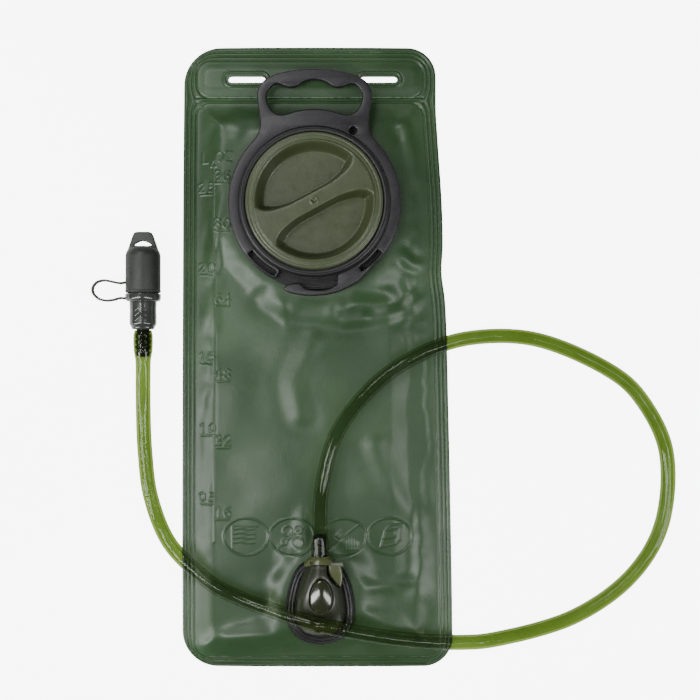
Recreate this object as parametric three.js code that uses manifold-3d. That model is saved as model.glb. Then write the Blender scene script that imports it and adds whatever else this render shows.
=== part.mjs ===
// A soft drinking-water reservoir for hiking, lying flat on its back, in millimetres.
// X runs across the pouch, +Y towards the edge that hangs, +Z up from the resting plane.
// The origin is on the underside of the back film, at the middle of the pouch.
//
// Two films are welded round their rim. The front film carries a wide screw-cap fill port with a
// carrying handle, and an outlet valve whose quick-release plug feeds the drinking hose. The hose
// loops round to a bite valve with a twist shut-off and a tethered dust cover.
import * as THREE from "three";
import { mergeVertices } from "three/addons/utils/BufferGeometryUtils.js";
import Module from "manifold-3d";

const wasm = await Module();
wasm.setup();

// ---------------------------------------------------------------- driving dimensions

const FILM = 0.7; // film thickness
const GAP = 0.1; // clearance left between faces that are welded or rest on each other
const POUCH_TOP = 204.2;
const POUCH_BOTTOM = -207;
const SIDE_WELD = 8.5; // width of the welded rim
const BOTTOM_WELD = 6.5;
const CROSS_WELD_Y = 169.6; // weld that closes the water chamber below the hanging strip
const CROSS_WELD = 3.4;
const WELDED_TOP = 2 * FILM + GAP; // top of the front film where it is welded down
const FILM_TOP = 7; // top of the front film where it carries the ports
const HANG_PUFF = 0.9; // how far the hanging strip stands up between its welds
const HANG_SLOT = { xs: [-45.4, 42.4], y: 183.1, length: 24.4, width: 4.2 };

const PORT = { x: 0, y: 100 }; // fill port axis
const NECK_BORE = 41.2;
const NECK_OUTER = 48.6;
const LIP_BORE = 45.2; // counterbore that the cap's rim drops into
const LIP_TOP = 19.5;
const SEAT_TOP = 17.5;
const PORT_FLANGE = { radius: 57, top: 8.6 };
const CAP_RADIUS = 44.6;
const CAP_TOP = 22;
const CAP_RIM_BASE = 18.9;
const CAP_SKIRT = 39;
const CAP_SKIRT_BASE = 5.5;
const CAP_FLOOR = 12; // top of the floor of the two grip recesses
const RECESS = { topRadius: 38.6, floorRadius: 33, bar: 4.7, draft: 2.4 };
const BAR_ANGLE = THREE.MathUtils.degToRad(28.3);
// Thread ribs: width at the root and at the tip, and how far they are rooted in the wall.
const THREAD = { lead: 10, starts: 2, turn: 0.6, root: 2, tip: 1, depth: 1.7, rooted: 0.4 };

const HANDLE = { base: 10.4, top: 15.4, bore: 49.1, outer: 56.5 };

const OUTLET = { x: 3.6, y: -165 }; // water inlet of the outlet valve
const OUTLET_FLANGE_TOP = 8.8;
const PLUG_Z = 16.5; // axis of the quick-release plug, which lies along Y
const HOUSING_BASE = OUTLET_FLANGE_TOP + GAP;
const BUTTON = { x: 4.6, y: -156.4, halfWidth: 7.6, halfLength: 12.2, base: 24.2 };
const BUTTON_POCKET_FLOOR = 22.6;
const LEVER_PIVOT = { x: 13.6, y: -135.8 };

const HOSE_OUTER = 4.9;
const HOSE_BORE = 3.35;
const BARB = { shank: 2.4, ridge: 2.85, bore: 1.7 };

const BITE = { x: -112.4, z: 11.7 }; // bite valve axis, which lies along Y
const COVER_RADIUS = 11.4;

// ---------------------------------------------------------------- geometry helpers

const v2 = (pairs) => pairs.map(([x, y]) => new THREE.Vector2(x, y));

const smoothstep = (t) => {
  const c = Math.min(1, Math.max(0, t));
  return c * c * (3 - 2 * c);
};

// A closed geometry as a solid.
function solid(geometry) {
  const g = geometry.clone();
  g.deleteAttribute("normal");
  g.deleteAttribute("uv");
  const merged = mergeVertices(g, 1e-4);
  return new wasm.Manifold(
    new wasm.Mesh({
      numProp: 3,
      vertProperties: merged.attributes.position.array,
      triVerts: new Uint32Array(merged.index.array),
    }),
  );
}

// A solid as a flat-shaded geometry.
function geometryOf(manifold) {
  const mesh = manifold.getMesh();
  const g = new THREE.BufferGeometry();
  g.setAttribute("position", new THREE.BufferAttribute(mesh.vertProperties, 3));
  g.setIndex(new THREE.BufferAttribute(mesh.triVerts, 1));
  const flat = g.toNonIndexed();
  flat.computeVertexNormals();
  return flat;
}

const subtractAll = (body, cutters) => cutters.reduce((left, cutter) => left.subtract(cutter), body);
const addAll = (bodies) => bodies.reduce((left, body) => left.add(body));

// A profile of [radius, height] pairs turned about the Y axis. It is closed if it leaves the axis.
function turned(profile, segments = 48) {
  const points = v2(profile);
  const onAxis = profile[0][0] === 0 && profile.at(-1)[0] === 0;
  if (!onAxis) points.push(points[0].clone());
  if (THREE.ShapeUtils.area(points) < 0) points.reverse();
  return new THREE.LatheGeometry(points, segments);
}

const turnedAboutZ = (profile, segments, x, y) =>
  turned(profile, segments).rotateX(Math.PI / 2).translate(x, y, 0);

const turnedAboutY = (profile, segments, x, z) => turned(profile, segments).translate(x, 0, z);

// A flat outline raised from one height to another.
const prism = (shape, z0, z1, curveSegments = 12) =>
  new THREE.ExtrudeGeometry(shape, { depth: z1 - z0, bevelEnabled: false, curveSegments })
    .translate(0, 0, z0);

const cylinderZ = (x, y, radius, z0, z1, segments = 32) =>
  new THREE.CylinderGeometry(radius, radius, z1 - z0, segments)
    .rotateX(Math.PI / 2)
    .translate(x, y, (z0 + z1) / 2);

const cylinderY = (x, z, radius, y0, y1, segments = 24) =>
  new THREE.CylinderGeometry(radius, radius, y1 - y0, segments).translate(x, (y0 + y1) / 2, z);

// Points of an arc about the origin, from one angle in degrees to another.
function arcPoints(radius, from, to, segments) {
  return Array.from({ length: segments + 1 }, (_, i) => {
    const angle = THREE.MathUtils.degToRad(from + ((to - from) * i) / segments);
    return new THREE.Vector2(radius * Math.cos(angle), radius * Math.sin(angle));
  });
}

const splinePoints = (pairs, segments) => new THREE.SplineCurve(v2(pairs)).getPoints(segments);

// A slot with round ends that runs along X.
function slotShape(x, y, length, width) {
  const reach = (length - width) / 2;
  const shape = new THREE.Shape();
  shape.absarc(x + reach, y, width / 2, -Math.PI / 2, Math.PI / 2);
  shape.absarc(x - reach, y, width / 2, Math.PI / 2, (3 * Math.PI) / 2);
  return shape;
}

const ellipseShape = (x, y, rx, ry) => new THREE.Shape().absellipse(x, y, rx, ry, 0, Math.PI * 2, false, 0);

// A closed body through a row of closed sections that all have the same number of points.
function loft(sections) {
  const count = sections[0].length;
  const positions = [];
  const triangle = (...corners) => corners.forEach((p) => positions.push(p.x, p.y, p.z));
  for (let s = 0; s + 1 < sections.length; s++) {
    for (let i = 0; i < count; i++) {
      const j = (i + 1) % count;
      const [a, b] = [sections[s], sections[s + 1]];
      triangle(a[i], a[j], b[j]);
      triangle(a[i], b[j], b[i]);
    }
  }
  [sections[0], [...sections.at(-1)].reverse()].forEach((ring) => {
    const middle = ring.reduce((sum, p) => sum.add(p), new THREE.Vector3()).divideScalar(count);
    ring.forEach((p, i) => triangle(ring[(i + 1) % count], p, middle));
  });
  const facing = signedVolume(positions) < 0 ? turnedInsideOut(positions) : positions;
  const attribute = new THREE.Float32BufferAttribute(facing, 3);
  return new THREE.BufferGeometry().setAttribute("position", attribute);
}

// The volume inside a triangle soup; it is negative if the triangles face inwards.
function signedVolume(positions) {
  const [a, b, c] = [new THREE.Vector3(), new THREE.Vector3(), new THREE.Vector3()];
  let sum = 0;
  for (let i = 0; i < positions.length; i += 9) {
    a.fromArray(positions, i);
    b.fromArray(positions, i + 3);
    c.fromArray(positions, i + 6);
    sum += a.dot(b.cross(c));
  }
  return sum / 6;
}

function turnedInsideOut(positions) {
  const out = [];
  for (let i = 0; i < positions.length; i += 9) {
    out.push(...positions.slice(i, i + 3));
    out.push(...positions.slice(i + 6, i + 9));
    out.push(...positions.slice(i + 3, i + 6));
  }
  return out;
}

// A round bar that follows a curve, with a round bore along it if bore is not 0.
function pipe(curve, outer, bore, steps, sides) {
  const ring = ellipseShape(0, 0, outer, outer);
  if (bore) ring.holes.push(ellipseShape(0, 0, bore, bore));
  return new THREE.ExtrudeGeometry(ring, {
    steps,
    extrudePath: curve,
    curveSegments: sides,
    bevelEnabled: false,
  });
}

// A wire wound round the Z axis from z0 to z1.
function coil(radius, wire, z0, z1, turns) {
  const curve = new (class extends THREE.Curve {
    getPoint(t, target = new THREE.Vector3()) {
      const angle = t * turns * Math.PI * 2;
      return target.set(radius * Math.cos(angle), radius * Math.sin(angle), z0 + (z1 - z0) * t);
    }
  })();
  return pipe(curve, wire, 0, turns * 10, 2);
}

// ---------------------------------------------------------------- materials

const paint = (color, roughness, metalness = 0, opacity = 1) =>
  new THREE.MeshStandardMaterial({ color, roughness, metalness, opacity, transparent: opacity < 1 });

const MATERIALS = {
  film: paint(0x587a5a, 0.42),
  blackPlastic: paint(0x38343a, 0.5),
  blackRubber: paint(0x2c2e2c, 0.6),
  olivePlastic: paint(0x5d6844, 0.42),
  housing: paint(0x55564a, 0.3),
  khaki: paint(0x7c7a50, 0.4),
  glossyGreen: paint(0x40452c, 0.12),
  hose: paint(0x7f9a3c, 0.15, 0, 0.6),
  valveGrey: paint(0x3f4540, 0.35),
  silicone: paint(0xb9bdb6, 0.5, 0, 0.85),
  steel: paint(0xb8bcc0, 0.3, 1),
};

const reservoir = new THREE.Group();

function part(name, geometry, material) {
  const mesh = new THREE.Mesh(geometry, MATERIALS[material]);
  mesh.name = name;
  reservoir.add(mesh);
  return mesh;
}

// ---------------------------------------------------------------- pouch

// The left edge leans out a little towards the bottom.
const LEFT_EDGE = { bottom: -88.3, lean: 0.003 };
const leftEdge = (y) => LEFT_EDGE.bottom + (y - POUCH_BOTTOM) * LEFT_EDGE.lean;

// The right edge is drawn in by the hanging strip, dents beside the fill port and then runs out to
// the full width. Points are [y, x].
const RIGHT_EDGE = [
  [-207, 91.8], [-20, 88.4], [35, 86.6], [55, 84.2], [72, 85], [100, 84.4], [140, 81.8], [162, 80.4],
  [206, 80.1],
];

function rightEdge(y) {
  const i = Math.max(1, RIGHT_EDGE.findIndex(([level]) => level >= y));
  const [[y0, x0], [y1, x1]] = [RIGHT_EDGE[i - 1], RIGHT_EDGE[i]];
  return x0 + ((x1 - x0) * (y - y0)) / (y1 - y0);
}

// How far each corner's curve reaches along the sides, and where its control points lie between the
// corner (0) and the ends of the curve (1).
const CORNERS = { bottomLeft: 24, bottomRight: 20, topRight: 19, topLeft: 25 };
const CORNER_HANDLE = 0.45;

function pouchOutline() {
  const shape = new THREE.Shape();
  const corner = (fromX, fromY, x, y, toX, toY) =>
    shape.bezierCurveTo(
      x + (fromX - x) * CORNER_HANDLE, y + (fromY - y) * CORNER_HANDLE,
      x + (toX - x) * CORNER_HANDLE, y + (toY - y) * CORNER_HANDLE,
      toX, toY,
    );
  const { bottomLeft, bottomRight, topRight, topLeft } = CORNERS;
  const [leftLow, rightLow] = [leftEdge(POUCH_BOTTOM), rightEdge(POUCH_BOTTOM)];
  const [leftHigh, rightHigh] = [leftEdge(POUCH_TOP), rightEdge(POUCH_TOP)];
  const rightStart = POUCH_BOTTOM + bottomRight;
  const rightEnd = POUCH_TOP - topRight;
  const leftStart = POUCH_BOTTOM + bottomLeft;
  const leftEnd = POUCH_TOP - topLeft;
  shape.moveTo(leftLow + bottomLeft, POUCH_BOTTOM);
  shape.lineTo(rightLow - bottomRight, POUCH_BOTTOM);
  corner(rightLow - bottomRight, POUCH_BOTTOM, rightLow, POUCH_BOTTOM, rightEdge(rightStart), rightStart);
  RIGHT_EDGE.filter(([y]) => y > rightStart && y < rightEnd).forEach(([y, x]) => shape.lineTo(x, y));
  shape.lineTo(rightEdge(rightEnd), rightEnd);
  corner(rightEdge(rightEnd), rightEnd, rightHigh, POUCH_TOP, rightHigh - topRight, POUCH_TOP);
  shape.lineTo(leftHigh + topLeft, POUCH_TOP);
  corner(leftHigh + topLeft, POUCH_TOP, leftHigh, POUCH_TOP, leftEdge(leftEnd), leftEnd);
  shape.lineTo(leftEdge(leftStart), leftStart);
  corner(leftLow, leftStart, leftLow, POUCH_BOTTOM, leftLow + bottomLeft, POUCH_BOTTOM);
  return shape;
}

// Widths over which the front film climbs away from its welds.
const CLIMB = { side: 16, bottom: 8.5, crossWeld: 10, stripSide: 8, stripEnds: 6 };

// How far the front film stands above its welded rim.
function filmRise(x, y) {
  const side = Math.min(x - leftEdge(y), rightEdge(y) - x) - SIDE_WELD;
  const chamberTop = CROSS_WELD_Y - CROSS_WELD / 2;
  if (y < chamberTop) {
    const up = smoothstep((y - POUCH_BOTTOM - BOTTOM_WELD) / CLIMB.bottom);
    const down = smoothstep((chamberTop - y) / CLIMB.crossWeld);
    return (FILM_TOP - WELDED_TOP) * smoothstep(side / CLIMB.side) * up * down;
  }
  const stripTop = smoothstep((POUCH_TOP - SIDE_WELD - y) / CLIMB.stripEnds);
  const stripBottom = smoothstep((y - CROSS_WELD_Y - CROSS_WELD / 2) / CLIMB.stripEnds);
  return HANG_PUFF * smoothstep(side / CLIMB.stripSide) * stripTop * stripBottom;
}

function hangSlots(z0, z1) {
  const { xs, y, length, width } = HANG_SLOT;
  return xs.map((x) => solid(prism(slotShape(x, y, length, width), z0, z1, 8)));
}

function backFilm() {
  return geometryOf(subtractAll(solid(prism(pouchOutline(), 0, FILM)), hangSlots(-1, 3)));
}

// The lines along which the front film is folded up: distances in from the side edges, two lines
// across the flat middle as shares of its width, and levels of y. The outer lines lie outside the
// pouch and are trimmed by its outline.
const FOLDS = {
  fromEdge: [-2, SIDE_WELD, 12, 16, 20, 24.5],
  middle: [0.3, 0.7],
  rows: [
    -209, -200.5, -198, -196, -194, -192, -150, -100, -50, 0, 35, 55, 72, 100, 140,
    158, 161, 164, 167.9, 171.3, 174, 177.5, 189.5, 195.7, 206,
  ],
};
const INLET_HOLE = 9; // radius of the hole in the film under the outlet valve

function foldColumns(y) {
  const { fromEdge, middle } = FOLDS;
  const [left, right] = [leftEdge(y), rightEdge(y)];
  const inner = fromEdge.at(-1);
  return [
    ...fromEdge.map((d) => left + d),
    ...middle.map((t) => left + inner + t * (right - left - 2 * inner)),
    ...[...fromEdge].reverse().map((d) => right - d),
  ];
}

function frontFilm() {
  // One closed ring per row: along the top of the film, then back along its underside.
  const sections = FOLDS.rows.map((y) => {
    const top = foldColumns(y).map((x) => new THREE.Vector3(x, y, WELDED_TOP + filmRise(x, y)));
    const under = [...top].reverse().map((p) => new THREE.Vector3(p.x, p.y, p.z - FILM));
    return [...top, ...under];
  });
  const above = FILM_TOP + 5;
  const sheet = solid(loft(sections)).intersect(solid(prism(pouchOutline(), -1, above)));
  return geometryOf(
    subtractAll(sheet, [
      ...hangSlots(-1, above),
      solid(cylinderZ(PORT.x, PORT.y, NECK_BORE, 0, above, 64)),
      solid(cylinderZ(OUTLET.x, OUTLET.y, INLET_HOLE, 0, above, 24)),
    ]),
  );
}

// ---------------------------------------------------------------- fill port and cap

// One start of the thread: a tapered rib from wallRadius to tipRadius that climbs with the lead.
function threadRib(wallRadius, tipRadius, startAngle, startZ) {
  const steps = Math.round(THREAD.turn * 48);
  const sunk = wallRadius + Math.sign(wallRadius - tipRadius) * THREAD.rooted;
  const [blunt, runOutSteps] = [0.15, 4]; // share of the height left at the ends, and how soon it grows
  const sections = Array.from({ length: steps + 1 }, (_, i) => {
    const along = (i / steps) * THREAD.turn;
    const angle = startAngle + along * 2 * Math.PI;
    const z = startZ + along * THREAD.lead;
    const runOut = smoothstep(Math.min(i, steps - i) / runOutSteps);
    const tip = wallRadius + (tipRadius - wallRadius) * (blunt + (1 - blunt) * runOut);
    return [
      [sunk, z - THREAD.root / 2],
      [tip, z - THREAD.tip / 2],
      [tip, z + THREAD.tip / 2],
      [sunk, z + THREAD.root / 2],
    ].map(([r, h]) =>
      new THREE.Vector3(PORT.x + r * Math.cos(angle), PORT.y + r * Math.sin(angle), h),
    );
  });
  return solid(loft(sections));
}

const threadRibs = (wallRadius, tipRadius, startZ) =>
  Array.from({ length: THREAD.starts }, (_, k) =>
    threadRib(wallRadius, tipRadius, (k * 2 * Math.PI) / THREAD.starts, startZ),
  );

// Weld flange with a raised ring, neck, retaining bead for the handle, and the lip round the cap.
function fillPort() {
  const { radius, top } = PORT_FLANGE;
  const rib = 0.8;
  const profile = [
    [NECK_BORE, FILM_TOP + GAP], [radius, FILM_TOP + GAP], [radius, top],
    [radius - 1.4, top], [radius - 1.8, top + rib], [radius - 3.2, top + rib], [radius - 3.6, top],
    [NECK_OUTER, top], [NECK_OUTER, HANDLE.top + 0.3], [NECK_OUTER + 0.9, HANDLE.top + 1],
    [NECK_OUTER, HANDLE.top + 1.9], [NECK_OUTER, LIP_TOP - 0.8], [NECK_OUTER - 0.8, LIP_TOP],
    [LIP_BORE, LIP_TOP], [LIP_BORE, SEAT_TOP], [NECK_BORE, SEAT_TOP],
  ];
  const body = solid(turnedAboutZ(profile, 48, PORT.x, PORT.y));
  const ribs = threadRibs(NECK_BORE, NECK_BORE - THREAD.depth, 10.5);
  return geometryOf(addAll([body, ...ribs]));
}

// The carrying handle is an open ring that snaps round the neck. Its right arm ends in a hook that
// closes the gap at the bottom; a loop with finger grooves stands off the top.
const HANDLE_HOOK = {
  inner: [[14.7, -54], [10, -56.7], [4, -57.6], [-4, -57.2], [-7, -55.6]],
  notch: [[-8.6, -53.5], [-13, -53.1], [-18.3, -54.3]],
  tip: [-20.4, -56.6],
  outside: [[-18.6, -58.4], [-12, -60.4], [0, -61.4], [15, -59], [28, -52.4]],
};
// Right half of the loop's outside, from the ring up to the crown. The left half mirrors it.
const HANDLE_SIDE = [
  [38.6, 41.8], [36.2, 46.6], [35.5, 52.5], [36.5, 60.5], [37.6, 67.5], [36.9, 74], [33.2, 79.2],
  [25, 83.6], [12.5, 86.2],
];
const HANDLE_CROWN = [0, 87];
// Right half of the loop's opening, from the middle of its lower edge up to the middle of its grip.
const HANDLE_OPENING = [
  [0, 60.6], [9, 60], [17, 57.7], [23, 56.8], [28.4, 60.2], [31.3, 67], [30.3, 73], [27, 76.5],
  [23.2, 77.1], [19.5, 75.6], [15.5, 74.6], [11.5, 75.6], [7, 78.6], [0, 80],
];
// The two slots in the ring, as angles in degrees between two radii.
const HANDLE_SLOTS = { spans: [[218, 241], [304.5, 323]], inner: 51.6, outer: 54.9 };
const HANDLE_EYE = { x: 25.2, y: 46.6, radius: 2.5 }; // small round hole beside the loop

const mirrored = (points) => [...points].reverse().map(([x, y]) => [-x, y]);

const HANDLE_RING = { openRight: -72, openLeft: 243, armStart: -48, neck: 42 }; // angles in degrees

function handleOutline() {
  const { bore, outer } = HANDLE;
  const { openRight, openLeft, armStart, neck } = HANDLE_RING;
  const { inner, notch, tip, outside } = HANDLE_HOOK;
  return new THREE.Shape([
    ...arcPoints(bore, openLeft, openRight, 46),
    ...splinePoints(inner, 6),
    ...splinePoints(notch, 3),
    ...v2([tip]),
    ...splinePoints(outside, 8),
    ...arcPoints(outer, armStart, neck, 12),
    ...splinePoints([...HANDLE_SIDE, HANDLE_CROWN, ...mirrored(HANDLE_SIDE)], 36),
    ...arcPoints(outer, 180 - neck, openLeft, 14),
  ]);
}

function handleRing() {
  const shape = handleOutline();
  const opening = splinePoints([...HANDLE_OPENING, ...mirrored(HANDLE_OPENING).slice(1)], 40);
  const eyeCentre = new THREE.Vector2(HANDLE_EYE.x, HANDLE_EYE.y);
  const eye = arcPoints(HANDLE_EYE.radius, 30, 390, 10).slice(1);
  const { spans, inner, outer } = HANDLE_SLOTS;
  const slots = spans.map(([from, to]) => [
    ...arcPoints(outer, from, to, 4),
    ...arcPoints(inner, to, from, 4),
  ]);
  shape.holes = [opening.slice(1), eye.map((p) => p.add(eyeCentre)), ...slots].map(
    (loop) => new THREE.Path(loop),
  );
  const bevel = 0.5;
  return new THREE.ExtrudeGeometry(shape, {
    depth: HANDLE.top - HANDLE.base - 2 * bevel,
    bevelThickness: bevel,
    bevelSize: bevel,
    bevelOffset: -bevel,
    bevelSegments: 1,
  }).translate(PORT.x, PORT.y, HANDLE.base + bevel);
}

// How far the grip bar's side stands out where it flares to meet the rim: [along the bar, rise].
const BAR_FLARE = [[33.4, 5.4], [29, 2.7], [21.5, 0.6], [13, 0]];

// One grip recess of the cap, in the bar's own frame: a D whose straight side is the grip bar, which
// is narrowest in the middle.
function recessSection(radius, bar, z) {
  const endAngle = Math.atan2(bar + 9.3, radius - 3);
  const arc = Array.from({ length: 15 }, (_, i) => {
    const angle = endAngle + (i / 14) * (Math.PI - 2 * endAngle);
    return [radius * Math.cos(angle), radius * Math.sin(angle)];
  });
  const shrink = radius / RECESS.topRadius;
  const side = (sign) => BAR_FLARE.map(([u, rise]) => [sign * u * shrink, bar + rise]);
  const loop = [...arc, ...side(-1), [0, bar], ...side(1).reverse()];
  return loop.map(([u, v]) => new THREE.Vector3(u, v, z));
}

function gripRecess(turn) {
  const { topRadius, floorRadius, bar, draft } = RECESS;
  const lip = 4; // the cutter runs on above the rim
  return solid(
    loft([
      recessSection(floorRadius, bar + draft, CAP_FLOOR),
      recessSection(topRadius, bar, CAP_TOP),
      recessSection(topRadius, bar, CAP_TOP + lip),
    ])
      .rotateZ(BAR_ANGLE + turn)
      .translate(PORT.x, PORT.y, 0),
  );
}

// Underside of the cap's floor, the raised face inside its rim, and the hollow under the grip bar.
const CAP_CORE = { under: 10, bore: 36.5, face: CAP_TOP + 0.8, faceRadius: 40, stepRadius: 41.2 };
const BAR_HOLLOW = { length: 56, width: 4.4, roof: 20 };
const CENTRE_DIMPLE = { radius: 1.4, floor: CAP_TOP + 0.3 };

function screwCap() {
  const { under, bore, face, faceRadius, stepRadius } = CAP_CORE;
  const profile = [
    [0, under], [bore, under], [bore, CAP_SKIRT_BASE], [CAP_SKIRT - 0.6, CAP_SKIRT_BASE],
    [CAP_SKIRT, CAP_SKIRT_BASE + 0.6], [CAP_SKIRT, CAP_RIM_BASE], [CAP_RADIUS, CAP_RIM_BASE],
    [CAP_RADIUS, CAP_TOP - 1.2], [CAP_RADIUS - 1.2, CAP_TOP], [stepRadius, CAP_TOP],
    [faceRadius, face], [0, face],
  ];
  const body = solid(turnedAboutZ(profile, 48, PORT.x, PORT.y));
  const ribs = threadRibs(CAP_SKIRT, CAP_SKIRT + THREAD.depth, 8);
  const slot = slotShape(0, 0, BAR_HOLLOW.length, BAR_HOLLOW.width);
  const barHollow = prism(slot, CAP_SKIRT_BASE - 1, BAR_HOLLOW.roof).rotateZ(BAR_ANGLE);
  const dimple = cylinderZ(PORT.x, PORT.y, CENTRE_DIMPLE.radius, CENTRE_DIMPLE.floor, face + 2, 12);
  return geometryOf(
    subtractAll(addAll([body, ...ribs]), [
      gripRecess(0),
      gripRecess(Math.PI),
      solid(barHollow.translate(PORT.x, PORT.y, 0)),
      solid(dimple),
    ]),
  );
}

function capGasket() {
  const [inner, outer, bulge] = [41.5, 44.1, 44.3];
  const [low, high] = [SEAT_TOP + GAP, CAP_RIM_BASE - GAP];
  const profile = [[inner, low], [outer, low], [bulge, (low + high) / 2], [outer, high], [inner, high]];
  return turnedAboutZ(profile, 48, PORT.x, PORT.y);
}

// ---------------------------------------------------------------- outlet valve

// Right half of the flange's egg outline about the valve's axis, from the bottom up. The left half
// mirrors it.
const FLANGE_SIDE = [
  [10, -189.2], [17.2, -184.2], [21.8, -176], [22.9, -167.5], [21.4, -156], [18.4, -146],
  [13.8, -138.6], [7, -134.4],
];
const FLANGE_ENDS = { bottom: [0, -191.2], top: [0, -133.2] };
const FLANGE_MIDDLE = { y: -163, halfWidth: 23, halfLength: 29 };

// The egg outline drawn in by an inset.
function eggOutline(inset) {
  const { y: centre, halfWidth, halfLength } = FLANGE_MIDDLE;
  const { bottom, top } = FLANGE_ENDS;
  const loop = [bottom, ...FLANGE_SIDE, top, ...mirrored(FLANGE_SIDE), bottom];
  const [across, along] = [1 - inset / halfWidth, 1 - inset / halfLength];
  const inwards = loop.map(([x, y]) => [OUTLET.x + x * across, centre + (y - centre) * along]);
  return new THREE.Shape(splinePoints(inwards, 36).slice(1));
}

function outletFlange() {
  const base = FILM_TOP + GAP;
  const plate = solid(prism(eggOutline(0), base, OUTLET_FLANGE_TOP));
  const bead = (inset) =>
    solid(prism(eggOutline(inset), base, OUTLET_FLANGE_TOP + 0.7)).subtract(
      solid(prism(eggOutline(inset + 1), base - 1, OUTLET_FLANGE_TOP + 2)),
    );
  const inlet = solid(cylinderZ(OUTLET.x, OUTLET.y, 7, 0, 20, 24));
  return geometryOf(plate.add(bead(0.3)).subtract(inlet));
}

// Stations of the housing along its length: [y, half width at the base, top height].
const HOUSING_STATIONS = [
  [-184.5, 5.5, 10.2], [-182.8, 10, 12], [-179.5, 13.5, 15], [-174.5, 15.8, 18.6],
  [-168.5, 16.6, 22.2], [-162, 16.3, 25.4], [-155, 15.2, 27], [-147, 13, 26.7],
  [-141, 10.6, 25.6], [-137.6, 8.8, 24.6],
];
const HOUSING_FULLNESS = 0.85; // below 1, the arch is fuller at its shoulders than an ellipse

// The arched body of the housing, with its top raised by lift.
function housingArch(lift) {
  const steps = 16;
  return solid(
    loft(
      HOUSING_STATIONS.map(([y, half, top]) =>
        Array.from({ length: steps + 1 }, (_, i) => {
          const angle = (i / steps) * Math.PI;
          const rise = (top + lift - HOUSING_BASE) * Math.sin(angle) ** HOUSING_FULLNESS;
          return new THREE.Vector3(OUTLET.x + half * Math.cos(angle), y, HOUSING_BASE + rise);
        }),
      ),
    ),
  );
}

// The shoulder is cut away here so that the release lever can swing in.
const LEVER_POCKET = v2([[9.9, -144.5], [14.3, -151.5], [22, -153.5], [22, -134], [9.9, -134]]);

function outletHousing() {
  const { x, y } = OUTLET;
  const pocket = ellipseShape(BUTTON.x, BUTTON.y, BUTTON.halfWidth + 0.35, BUTTON.halfLength + 0.35);
  return geometryOf(
    subtractAll(housingArch(0), [
      solid(cylinderY(x, PLUG_Z, 4.4, -157, -130)), // plug bore
      solid(cylinderY(x, PLUG_Z, 5.4, -168, -156.5)), // valve chamber
      solid(cylinderZ(x, y, 5, 5, PLUG_Z, 24)), // water inlet
      solid(prism(pocket, BUTTON_POCKET_FLOOR, 40)),
      solid(prism(new THREE.Shape(LEVER_POCKET), HOUSING_BASE + 0.8, 40)),
    ]),
  );
}

function releaseButton() {
  const oval = ellipseShape(BUTTON.x, BUTTON.y, BUTTON.halfWidth, BUTTON.halfLength);
  return geometryOf(housingArch(0.7).intersect(solid(prism(oval, BUTTON.base, 40))));
}

// A bowed leaf between the pocket's floor and the button.
function buttonSpring() {
  const [halfSpan, thickness, width] = [6.5, 0.35, 5];
  const low = BUTTON_POCKET_FLOOR + 0.15;
  const rise = BUTTON.base - low - 0.15 - thickness;
  const leaf = new THREE.Shape();
  leaf.moveTo(-halfSpan, 0);
  leaf.quadraticCurveTo(0, 2 * rise, halfSpan, 0);
  leaf.lineTo(halfSpan, thickness);
  leaf.quadraticCurveTo(0, 2 * rise + thickness, -halfSpan, thickness);
  return new THREE.ExtrudeGeometry(leaf, { depth: width, bevelEnabled: false, curveSegments: 10 })
    .translate(0, 0, -width / 2)
    .rotateX(Math.PI / 2)
    .rotateZ(Math.PI / 2)
    .translate(BUTTON.x, BUTTON.y, low);
}

// The poppet is held off its seat by the plug's nose and is closed by the spring behind it.
const valvePoppet = () =>
  turnedAboutY(
    [
      [0, -161.4], [3, -161.4], [4.7, -160.8], [4.7, -159.4], [3.4, -158.2], [1.3, -157.6],
      [1.3, -153], [0, -153],
    ],
    16, OUTLET.x, PLUG_Z,
  );

const POPPET_SPRING = { radius: 3, wire: 0.4, y: -167.2, length: 5, turns: 4 };

function poppetSpring() {
  const { radius, wire, y, length, turns } = POPPET_SPRING;
  return coil(radius, wire, 0, length, turns)
    .rotateX(-Math.PI / 2)
    .translate(OUTLET.x, y, PLUG_Z);
}

// A hose barb's ridges as [radius, y] pairs, from the hose end at y0 to the shoulder at y1.
function barbRidges(y0, y1, count) {
  const pitch = (y1 - y0) / count;
  return Array.from({ length: count }, (_, i) => [
    [BARB.shank, y0 + i * pitch],
    [BARB.ridge, y0 + (i + 0.75) * pitch],
    [BARB.ridge, y0 + (i + 0.9) * pitch],
  ]).flat();
}

// Hollow stem: nose and O-ring groove inside the housing, shoulder in the collar, barb in the hose.
function plugStem() {
  const barb = barbRidges(0, 12.5, 4).map(([r, y]) => [r, -118.5 - y]);
  return turnedAboutY(
    [
      [BARB.bore, -118.5], ...barb, [BARB.shank, -131.5], [3.9, -131.5], [3.9, -143.8], [3, -143.8],
      [3, -146.2], [3.9, -146.2], [3.9, -151.6], [3.4, -152.4], [BARB.bore, -152.4],
    ],
    16, OUTLET.x, PLUG_Z,
  );
}

// A six-sided wire ring about the Y axis.
const oRing = (radius, wire, y, x, z) =>
  turnedAboutY(
    Array.from({ length: 6 }, (_, i) => {
      const angle = (i * Math.PI) / 3;
      return [radius + wire * Math.cos(angle), y + wire * Math.sin(angle)];
    }),
    16, x, z,
  );

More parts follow.
